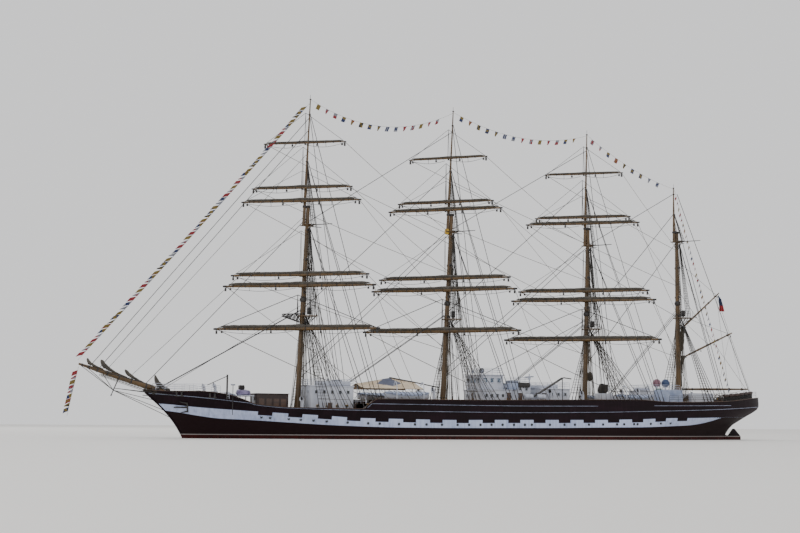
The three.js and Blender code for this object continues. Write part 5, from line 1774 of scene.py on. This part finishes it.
topGear = {
    "boxes": [  # low corner, high corner, finish
        ((16.6, -1.9, 7.75), (20.9, 1.9, 8.4), 0), ((17.4, -0.6, 8.38), (18.8, 0.6, 8.6), 5),
        ((-11.9, -1.1, 8.6), (-10.7, 1.1, 9.1), 5), ((-17.0, -1.5, 7.95), (-15.2, 1.5, 8.45), 0),
        ((-19.2, -0.7, 7.95), (-18.0, 0.7, 8.6), 0), ((-29.3, -0.9, 6.3), (-26.9, 0.9, 7.35), 0),
        ((-37.2, -2.0, 7.95), (-35.2, -0.6, 8.4), 0), ((-37.9, 1.4, 7.95), (-37.1, 2.0, 8.3), 8),
        ((-47.4, 2.0, 5.55), (-43.1, 3.0, 7.6), 0), ((-47.4, -3.0, 5.55), (-43.1, -2.0, 7.6), 0),
        ((-52.6, 1.6, 5.6), (-50.2, 3.0, 6.7), 4), ((-52.6, -3.0, 5.6), (-50.2, -1.6, 6.7), 4),
        ((31.3, -1.8, 5.98), (33.6, 1.8, 6.12), 0), ((-10.8, 2.44, 7.62), (-9.1, 2.95, 8.6), 7),
        ((-13.1, 2.54, 8.0), (-10.85, 2.6, 8.75), 1),
    ],
    "rods": [  # start, end, radius, finish
        ((31.5, 1.7, 3.3), (31.5, 1.7, 6.0), 0.07, 0), ((33.4, 1.7, 3.3), (33.4, 1.7, 6.0), 0.07, 0),
        ((31.5, -1.7, 3.3), (31.5, -1.7, 6.0), 0.07, 0), ((33.4, -1.7, 3.3), (33.4, -1.7, 6.0), 0.07, 0),
        ((36.15, 4.4, 5.5), (36.15, 4.4, 8.9), 0.13, 1), ((36.15, 4.4, 8.7), (39.0, 4.4, 7.4), 0.05, 1),
        ((35.3, 4.4, 3.3), (35.3, 4.4, 7.5), 0.05, 1), ((35.0, 4.4, 7.5), (35.6, 4.4, 7.5), 0.09, 5),
        ((-14.4, 0, 8.0), (-14.4, 0, 10.2), 0.1, 0), ((-14.4, 0, 9.55), (-13.4, 0, 9.55), 0.05, 0),
        ((-12.6, 4.75, 5.1), (-12.6, 4.75, 6.7), 0.06, 0), ((-17.6, 4.75, 5.1), (-17.6, 4.75, 9.6), 0.07, 1),
        ((-17.8, 4.75, 9.55), (-19.2, 4.75, 9.4), 0.09, 1),
    ],
    "bundles": [  # low corner, high corner of canvas lashed in a heap, finish
        ((31.5, -0.9, 6.1), (33.5, 0.9, 6.95), 9), ((32.3, -0.6, 6.9), (33.1, 0.6, 7.6), 10),
        ((33.7, -1.2, 4.6), (35.4, 1.2, 6.5), 5), ((-25.8, -0.6, 9.3), (-25.0, 0.6, 10.7), 10),
        ((-28.7, -0.7, 7.3), (-27.2, 0.7, 8.9), 10), ((44.6, -0.75, 6.0), (45.9, 0.75, 6.9), 10),
    ],
    "rafts": [(-11.4, 5.15), (-13.6, 5.15)],
    "poopRolls": {"from": -47.4, "to": -55.0, "count": 6, "radius": 0.23},
}


def heapPoint(low, high, seed):  # a heap of canvas, rounded and creased
    middle, half = (low + high) / 2, (high - low) / 2

    def place(u, v):
        turn, rise = tau * (v % 1), pi * (u - 0.5)
        way = spot(cos(turn) * cos(rise), sin(turn) * cos(rise), sin(rise))
        swell = 1.0 + 0.22 * noise.noise(way * 1.7 + spot(seed, 0, 0))
        return middle + Vector([copysign(abs(part) ** 0.62, part) for part in way]) * half * swell
    return place


def rollPoint(u, rise):  # a point over the port rail of the poop
    span = topGear["poopRolls"]
    return byRail(span["from"] + (span["to"] - span["from"]) * u, 1, 0.16, rise)


bm = bmesh.new()
for low, high, look in topGear["boxes"]:
    addBox(bm, low, high, look, 0.06)
for start, end, radius, look in topGear["rods"]:
    addRod(bm, start, end, radius, finish=look)
for i, (low, high, look) in enumerate(topGear["bundles"]):
    verts = addMapped(bm, 14, 20, heapPoint(Vector(low), Vector(high), i * 5.1), look)
    ops.remove_doubles(bm, verts=verts, dist=0.002)
raft = [(0, 0), (0.06, 0.34), (0.16, 0.42), (0.7, 0.42), (0.72, 0.46), (0.8, 0.46), (0.82, 0.42),
    (1.34, 0.42), (1.44, 0.34), (1.5, 0)]
for x, y in topGear["rafts"]:
    for side in (1, -1):
        addTurned(bm, (x + 0.75, side * y, 6.5), (x - 1, side * y, 6.5), raft, 18)
        for end in (0.45, -0.45):
            addBox(bm, (x + end - 0.06, side * y - 0.3, 5.0), (x + end + 0.06, side * y + 0.3, 6.2), 0, 0.02)
addMapped(bm, 20, 1, lambda u, v: rollPoint(u, 0.1 + 0.7 * v), 10, 0.06)
count, radius = topGear["poopRolls"]["count"], topGear["poopRolls"]["radius"]
for i in range(count):
    start, end = [rollPoint((i + share) / count, 0.95) for share in (0.03, 0.97)]
    length = (end - start).length
    waists = [(length * share, radius * (0.88 if share in (0.32, 0.68) else 1.05))
        for share in (0.3, 0.32, 0.34, 0.66, 0.68, 0.7)]
    addTurned(bm, start, end, [(0, 0), (0.03, radius * 0.8), *waists, (length - 0.03, radius * 0.8),
        (length, 0)], 14, 4)
addBox(bm, (-14.55, -1.2, 9.65), (-14.25, 1.2, 9.85), 0, 0.05)
addPost(bm, (-14.4, 0, 9.3), drum(0, 0.35, 0.22), 14)
addPost(bm, (-6.0, 0, 9.85), [(0, 0), (0, 0.05), (0.25, 0.05), (0.3, 0.3), (0.7, 0.42), (1.0, 0.3),
    (1.1, 0.06), (1.1, 0)], 16, 1)
for y in (1.6, -1.6):
    addPost(bm, (-5.2, y, 9.85), [(0, 0), (0, 0.06), (0.4, 0.06), (0.45, 0.2), (0.75, 0.2), (0.8, 0)], 14, 5)

tarpaulin = {"fore": -35.8, "aft": -41.3, "y": 2.96, "top": 8.0, "foot": 6.0}


def tarpaulinPoint(u, v):  # it lies over the roof's edge and hangs down the port wall
    x = tarpaulin["aft"] + (tarpaulin["fore"] - tarpaulin["aft"]) * u
    ripple = 0.035 * sin(x * 4.1) * (1 - v) + 0.02 * noise.noise(spot(x, v * 3, 0))
    if v > 0.75:
        return spot(x, tarpaulin["y"] - (v - 0.75) * 2.4, tarpaulin["top"] + 0.03 + (v - 0.75) * 0.2)
    foot = tarpaulin["foot"] + 0.12 * sin(x * 1.3)
    return spot(x, tarpaulin["y"] + ripple, foot + (tarpaulin["top"] + 0.02 - foot) * v / 0.75)


newPiece("house_top_gear", bm, fittingLooks + ["green", "purple", "dark"])
bm = bmesh.new()
addMapped(bm, 60, 24, tarpaulinPoint)
ops.recalc_face_normals(bm, faces=bm.faces)
hungCloth = newPiece("poop_house_tarpaulin", bm, ["cover"], crease=70)
ladder = [[spot(-12.6, 4.75 + y, 6.6), spot(-17.6, 4.75 + y, 9.5)] for y in (-0.3, 0.3)]
ladder += [[start.lerp(end, i / 16) for start, end in ladder] for i in range(17)]
newRopes("gangway_ladder", ladder, 0.09, "iron", 1)

# Radomes, wheel and capstan

domeRows = [(1.2 + 0.68 * sin(radians(a)), max(0.68 * cos(radians(a)), 0)) for a in range(-54, 91, 12)]
bm = bmesh.new()
for x, look in ((-38.3, 1), (-40.0, 2)):
    addPost(bm, (x, 0, 8), [(0, 0), (0, 0.3), (0.06, 0.3), (0.1, 0.13), (0.5, 0.12), (0.62, 0.34),
        (0.7, 0.36), (0.7, 0)], 20)
    addPost(bm, (x, 0, 8), [(0.64, 0), *domeRows, (1.88, 0)], 28, look)
addBox(bm, (-40.2, -0.2, 8.0), (-38.1, 0.2, 8.1), 0, 0.02)
newPiece("radome_pair", bm, ["white", "mauve", "blue"], ("radomes",))

bm = bmesh.new()
x, base = -51.0, deckAt(-51.4)
axle = base + 1.0
addBox(bm, (x - 0.4, -0.45, base), (x + 0.4, 0.45, axle + 0.12), 0, 0.05)
addBox(bm, (x - 0.45, -0.5, axle + 0.1), (x + 0.45, 0.5, axle + 0.3), 0, 0.08)
addRod(bm, (x - 0.78, 0, axle), (x + 0.78, 0, axle), 0.07, finish=1)
for offset in (0.65, -0.65):
    hub = spot(x + offset, 0, axle)
    addTurned(bm, hub - spot(0.09, 0, 0), hub,
        [(0, 0), (0, 0.15), (0.04, 0.17), (0.14, 0.17), (0.18, 0.15), (0.18, 0)], 16, 1)
    addTurned(bm, hub - spot(0.045, 0, 0), hub, [(0, 0.76), (0, 0.86), (0.09, 0.86), (0.09, 0.76), (0, 0.76)],
        40)
    for i in range(10):
        way = spot(0, cos(tau * i / 10), sin(tau * i / 10))
        addTurned(bm, hub + way * 0.1, hub + way,
            [(0, 0), (0, 0.03), (0.3, 0.042), (0.62, 0.03), (0.8, 0.022), (0.92, 0.034), (1.0, 0.0)], 8)
newPiece("wheel_and_box", bm, ["teak", "brass"], ("steering_wheel",))

bm = bmesh.new()
foot = spot(39, 0, deckAt(38.4))
addPost(bm, foot, [(0, 0), (0, 0.55), (0.1, 0.55), (0.16, 0.44), (0.3, 0.34), (0.72, 0.28), (0.76, 0.4),
    (0.86, 0.44), (0.98, 0.42), (1.06, 0.3), (1.06, 0)], 24)
for i in range(8):
    way = spot(cos(tau * i / 8), sin(tau * i / 8), 0)
    addRod(bm, foot + upward * 0.2 + way * 0.4, foot + upward * 0.76 + way * 0.3, 0.05)
    low = foot + upward * 0.84 + way * 0.42
    addRod(bm, low, low + way * 0.03, 0.05, sides=6, finish=1)
newPiece("capstan_barrel", bm, ["iron", "brass"], ("capstan",))

# Rails round the houses, the poop and the forecastle

railLook = {"high": 0.95, "rows": (0.35, 0.65, 0.95), "every": 1.25, "tube": 0.026}


def railingLines(path, closed=False):
    path = [Vector(p) for p in path]
    if closed:
        path.append(path[0])
    lines = [[p + upward * level for p in path] for level in railLook["rows"]]
    for start, end in zip(path, path[1:]):
        count = max(int((end - start).length / railLook["every"]), 1)
        for i in range(count):
            foot = start.lerp(end, i / count)
            lines.append([foot, foot + upward * railLook["high"]])
    lines.append([path[-1], path[-1] + upward * railLook["high"]])
    return lines


def roofPath(row, inset=0.05):
    z = row["roof"] - row["camber"]
    fore, aft, half = row["fore"] - inset, row["aft"] + inset, row["half"] - inset
    return [(fore, half, z), (aft, half, z), (aft, -half, z), (fore, -half, z)]


railings, poopRailings = [], []
for name in ("fore_deckhouse", "midship_house", "poop_house"):
    railings += railingLines(roofPath(houseRows[name]), True)
railings += railingLines([(-4.7, 2.4, 9.87), (-8.3, 2.4, 9.87), (-8.3, -2.4, 9.87), (-4.7, -2.4, 9.87)], True)
railings += railingLines([(-9.8, 2.35, 8.6), (-13.2, 2.35, 8.6), (-13.2, -2.35, 8.6), (-9.8, -2.35, 8.6)])
railings += railingLines([(36.1, y, deckAt(36.1)) for y in (-5.3, -3.6, -1.8, 0, 1.8, 3.6, 5.3)])
railings += railingLines([(15.9, y, deckAt(15.9)) for y in (-6.4, -4.2, -2.1, 0, 2.1, 4.2, 6.4)])
for side in (1, -1):
    railings += railingLines([(-4.6, side * 3.15, 7.6), (-9.5, side * 3.15, 7.6)])
    railings += railingLines([byRail(37 + i * 1.2, side, 0.12, 0.05) for i in range(8)])
    poopRailings += railingLines([byRail(-36 - i * 1.7, side, 0.12, 0.05) for i in range(13)])
newRopes("deck_railings", railings, railLook["tube"], "white")
newRopes("poop_railings", poopRailings, railLook["tube"], "iron")
print("rails done")

# Running rigging: braces run between a yard and the ship, lifts turn with their yard

braceLook = {
    # metres abaft the mast for a rail foot, or the height on the next mast
    "course": ("rail", 15.0), "lower_topsail": ("rail", 16.6), "upper_topsail": ("mast", 13.6),
    "lower_topgallant": ("mast", 20.4), "upper_topgallant": ("mast", 25.6), "royal": ("mast", 31.6),
}
liftRise = {"course": 5.0, "upper_topsail": 6.6, "lower_topgallant": 4.6, "upper_topgallant": 6.2,
    "royal": 4.6}
nextMast = {"fore": "main", "main": "mizzen", "mizzen": "jigger"}


def blendRope(name, start, end, body, sag=0.25, radius=0.026, look="rope"):
    points = slack(start, end, sag, 14)
    rope = newRopes(name, [points], radius, look, body=None)
    points[0] * modelScale
    points[-1] * modelScale
    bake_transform(rope)


for mastName in squareMasts:
    for row, spec in yardTable.items():
        body, turn = f"{mastName}_{row}_yard", yardTurn(mastName, row)
        half, heavy, lifts = spec["length"] / 2, row == "course", []
        kind, reach = braceLook[row]
        for sideName, side in (("port", 1), ("starboard", -1)):
            if kind == "rail":
                foot = byRail(mastRows[mastName]["x"] - reach, side, 0.1, 0.1)
            else:
                foot = backOf(nextMast[mastName], reach) + spot(0.5, side * 0.35, 0)
            tip = turn @ spot(spec["arm"] - 0.05, side * half * 0.965, 0)
            blendRope(f"{body}_brace_{sideName}", foot, tip, body, 0.3, 0.045 if heavy else 0.034)
            if row in liftRise:
                tip, head = spot(spec["arm"], side * half * 0.95, yardRadius(spec, 0.95)), spot(0, 0,
                    liftRise[row])
                lifts += [[tip, head], [head, spot(0, side * 0.12, 0.2)]]
        if lifts:
            newRopes(f"{body}_lifts", moved(turn, lifts), 0.05 if heavy else 0.03, body=body)

runLook = {"heads": (0.5, 3.6, 8.5, 13.0), "fife": 1.7, "rail": (2.35, 3.25, 4.15, 5.05, 5.95),
    "tall": (2.1, 3.0, 3.9, 5.0, 6.2, 7.2)}
runs, blocks = [], []
for name, mast in mastRows.items():
    jiggerMast = name == "jigger"
    for side in (1, -1):
        for i, rise in enumerate(runLook["heads"]):
            z = min(mast["topZ"] + rise, mast["crosstreesZ"] - 0.6)
            for k in range(2):
                head = onMast(mast, z, 0.3 * k - 0.2, side * (lowerRadius(mast, z) + 0.12))
                knee = onMast(mast, mast["topZ"], 0.4 * k - 0.3, side * 0.5) - upward * 0.6
                foot = spot(mast["x"] - 0.9 + 0.35 * i + 0.2 * k, side * runLook["fife"],
                    deckAt(mast["x"]) + 0.9)
                runs.append([head, knee, foot])
                blocks.append((head, knee))
        for i, off in enumerate(() if jiggerMast else runLook["tall"]):
            foot = spot(mast["x"] - off, side * 2.0, deckAt(mast["x"] - off) + 0.9)
            runs.append([onMast(mast, mast["crosstreesZ"] - 0.8 - 1.1 * i, -0.42, side * 0.24), foot])
        for off in runLook["rail"][:3 if jiggerMast else 5]:
            foot = byRail(mast["x"] - off * (0.75 if jiggerMast else 1), side, 0.45, -0.1)
            runs.append([onMast(mast, mast["topZ"], -0.5, side * 0.36) - upward * 0.25, foot])
newRopes("running_lines", runs, 0.032, "rope")
bm = bmesh.new()
pattern = addBox(bm, (-0.07, -0.1, 0.0), (0.07, 0.1, 0.32), 0, 0.03)
stampAll(bm, pattern, [aimed(head, knee) for head, knee in blocks])
newPiece("masthead_blocks", bm, ["iron"])


def onSpar(name, share):  # a point along the spanker boom or a gaff
    row = spankerRows[name]
    return spankerHeel(row).lerp(spot(row["end"][0], 0, row["end"][1]), share)


gaffGear = {  # height of the lift on the mast, its place along the spar, and where the vangs come down
    "spanker_boom": (24.5, 0.97, -50.4), "spanker_lower_gaff": (20.6, 0.95, -53.0),
    "spanker_upper_gaff": (29.6, 0.93, -55.2),
}
for name, (headZ, share, vangX) in gaffGear.items():
    tip = onSpar(name, share)
    blendRope(f"{name}_lift", backOf("jigger", headZ), tip, name, 0.05, 0.03, "wire")
    if name != "spanker_boom":
        blendRope(f"{name}_span", backOf("jigger", headZ - 0.4), onSpar(name, share * 0.55), name, 0.03,
            0.026, "wire")
    for sideName, side in (("port", 1), ("starboard", -1)):
        blendRope(f"{name}_vang_{sideName}", byRail(vangX, side, 0.3, 0.05), tip, name, 0.12, 0.022)
print("running rigging done")

# Dressing lines with their signal flags, and the ensign

bunting = {
    "hoist": 0.66, "fly": 0.84, "grid": (8, 6),
    "tones": {"r": "7d1620", "y": "6a581e", "b": "132450", "w": "777982", "k": "101013"},
    "designs": [("plain", "rr"), ("halves", "yb"), ("bars", "bw"), ("cross", "wr"), ("square", "by"),
        ("quarters", "rw"), ("bars", "ry"), ("square", "wb"), ("halves", "wr"), ("cross", "by"),
        ("plain", "yy"), ("quarters", "yk")],
}
dressing = {
    # start, end, sag, first flag and pitch in metres, the way that the flags stream, and their size
    "bow": ((56.1, 0, 10.6), (22.95, 0, 49.9), 0.35, 0.9, 0.86, (0.97, 0.1, -0.1), 1.15),
    "fore_main": ((22.8, 0, 50.4), (-0.9, 0, 50.7), 3.1, 1.2, 1.45, (0.45, 0.1, -0.85), 0.9),
    "main_mizzen": ((-1.1, 0, 50.8), (-25.2, 0, 49.3), 2.2, 1.2, 1.6, (0.45, 0.1, -0.85), 0.9),
    "mizzen_jigger": ((-25.4, 0, 49.4), (-42.1, 0, 41.8), 0.9, 1.0, 1.75, (0.5, 0.1, -0.8), 0.9),
    "stern": ((-42.3, 0, 41.8), (-51.6, 2.2, 7.1), 0.5, 1.2, 0.95, (0.5, 0.1, -0.7), 0.6),
    "under_bowsprit": ((55.95, 0, 9.7), (57.3, 0, 3.0), -0.12, 0.5, 0.64, (0.97, 0.1, -0.15), 0.9),
}


def designTone(kind, pair, u, v):
    second = {
        "plain": False, "halves": u > 0.5, "bars": 0.34 < v < 0.67,
        "cross": abs(u - 0.5) < 0.13 or abs(v - 0.5) < 0.17,
        "square": abs(u - 0.5) < 0.26 and abs(v - 0.5) < 0.26, "quarters": (u > 0.5) != (v > 0.5),
    }[kind]
    return tone(bunting["tones"][pair[1 if second else 0]])


def addFlag(bm, layer, low, high, fly, design, seed):
    kind, pair = design
    taper = 0.75 if seed % 3 == 1 else 0.0

    def place(u, v):
        hoist = low.lerp(high, 0.5 + (v - 0.5) * (1 - taper * u))
        wave = 0.07 * u * sin(u * 5.5 + seed * 1.7) + 0.03 * sin(v * 4 + seed)
        return hoist + fly * u + spot(0, wave, -0.1 * u * u)
    for face in facesOf(addMapped(bm, *bunting["grid"], place)):
        at = face.calc_center_median()
        u = min(max((at - (low + high) / 2).dot(fly) / fly.length_squared, 0), 1)
        v = min(max((at - low - fly * u).dot(high - low) / (high - low).length_squared, 0), 1)
        for loop in face.loops:
            loop[layer] = designTone(kind, pair, u, v)


flagSpots = 0
for name, (start, end, sag, first, pitch, stream, size) in dressing.items():
    hoist, fly = bunting["hoist"] * size, bunting["fly"] * size
    line = slack(start, end, sag, 40)
    lengths = [(b - a).length for a, b in zip(line, line[1:])]

    def atLength(reach):
        for a, b, length in zip(line, line[1:], lengths):
            if reach <= length:
                return a.lerp(b, reach / length)
            reach -= length
        return line[-1]

    newRopes(f"dressing_{name}_line", [line], 0.014, "rope")
    bm = bmesh.new()
    layer = bm.loops.layers.float_color.new("bunting")
    count = int((sum(lengths) - first - 0.4) / pitch)
    random.seed(name)
    for i in range(count):
        low, high = atLength(first + i * pitch), atLength(first + i * pitch + hoist)
        streaming = (Vector(stream) + spot(0, 0, -0.2 * random.random())).normalized()
        addFlag(bm, layer, low, high, streaming * fly, bunting["designs"][(i * 5 + flagSpots) % 12], i)
    flagSpots += count
    flags = newPiece(f"dressing_{name}_flags", bm, ["flag"], crease=70)
    area = sum(face.area for face in flags.data.polygons)
    cut = (hoist * modelScale, fly * modelScale * count)
    min(area, cut[0] * cut[1])

ensignLook = {"hoist": 2.0, "fly": 3.2, "peak": 0.98, "upper": "6d7686", "middle": "17264a",
    "lower": "9c1c27"}
peak = onSpar("spanker_upper_gaff", ensignLook["peak"])


def ensignPoint(u, v):  # u down the hanging fly, v across the hoist that has dropped into folds
    fall = ensignLook["fly"] * 0.86 * u + 0.25
    width = 0.3 + 1.3 * (0.35 + 0.65 * u) * 0.5
    across = (v - 0.5) * width * 2
    fold = 0.19 * sin(v * 13 + u * 1.5) * (0.5 + 0.5 * u)
    return peak + spot(-0.28 - across * 0.55 - 0.3 * u, fold, -fall - 0.5 * v * (1 - u) * 1.2)


bm = bmesh.new()
layer = bm.loops.layers.float_color.new("bunting")
for face in facesOf(addMapped(bm, 40, 48, ensignPoint)):
    at = face.calc_center_median()
    share = (peak.z - at.z) / (ensignLook["fly"] * 0.86 + 0.5)
    name = "lower" if share > 0.62 else "middle" if share > 0.24 else "upper"
    for loop in face.loops:
        loop[layer] = tone(ensignLook[name])
ensign = newPiece("ensign", bm, ["flag"], body="spanker_upper_gaff", crease=80)
area = sum(face.area for face in ensign.data.polygons)
print("flags done")


# Plain floor at the waterline, and soft studio light

studio = {"floorSize": 900.0, "floorTone": tone("eceae6"), "floorShade": tone("e2e0dc"),
    "skyTone": tone("f1f1f2"), "skyPower": 1.12,
    "lights": [((14, 22, 16), 12.0, 900.0), ((-16, 14, 9), 10.0, 350.0), ((4, -22, 14), 12.0, 900.0)]}
bm = bmesh.new()
ops.create_grid(bm, x_segments=1, y_segments=1, size=studio["floorSize"] * modelScale / 2)
floorMesh = bpy.data.meshes.new("studio_floor")
bm.to_mesh(floorMesh)
bm.free()
floorFinish = Finish("floorPaper", Roughness=0.7)
floorCloud = mottle(floorFinish.place, 0.6)
floorFinish.feed("Base Color", mixed(floorCloud * 0.3, studio["floorTone"], studio["floorShade"]))
floorMesh.materials.append(floorFinish.material)
floor = bpy.data.objects.new("studio_floor", floorMesh)
scene.collection.objects.link(floor)

world = bpy.data.worlds.new("studioSky")
world.use_nodes = True
world.node_tree.nodes["Background"].inputs["Color"].default_value = studio["skyTone"]
world.node_tree.nodes["Background"].inputs["Strength"].default_value = studio["skyPower"]
scene.world = world
for number, (place, size, power) in enumerate(studio["lights"]):
    lamp = bpy.data.lights.new(f"softBox{number}", "AREA")
    lamp.size = size
    lamp.energy = power
    holder = bpy.data.objects.new(f"softBox{number}", lamp)
    scene.collection.objects.link(holder)
    holder.location = place
    holder.rotation_euler = (spot(0, 0, 1.5) - Vector(place)).to_track_quat("-Z", "Y").to_euler()
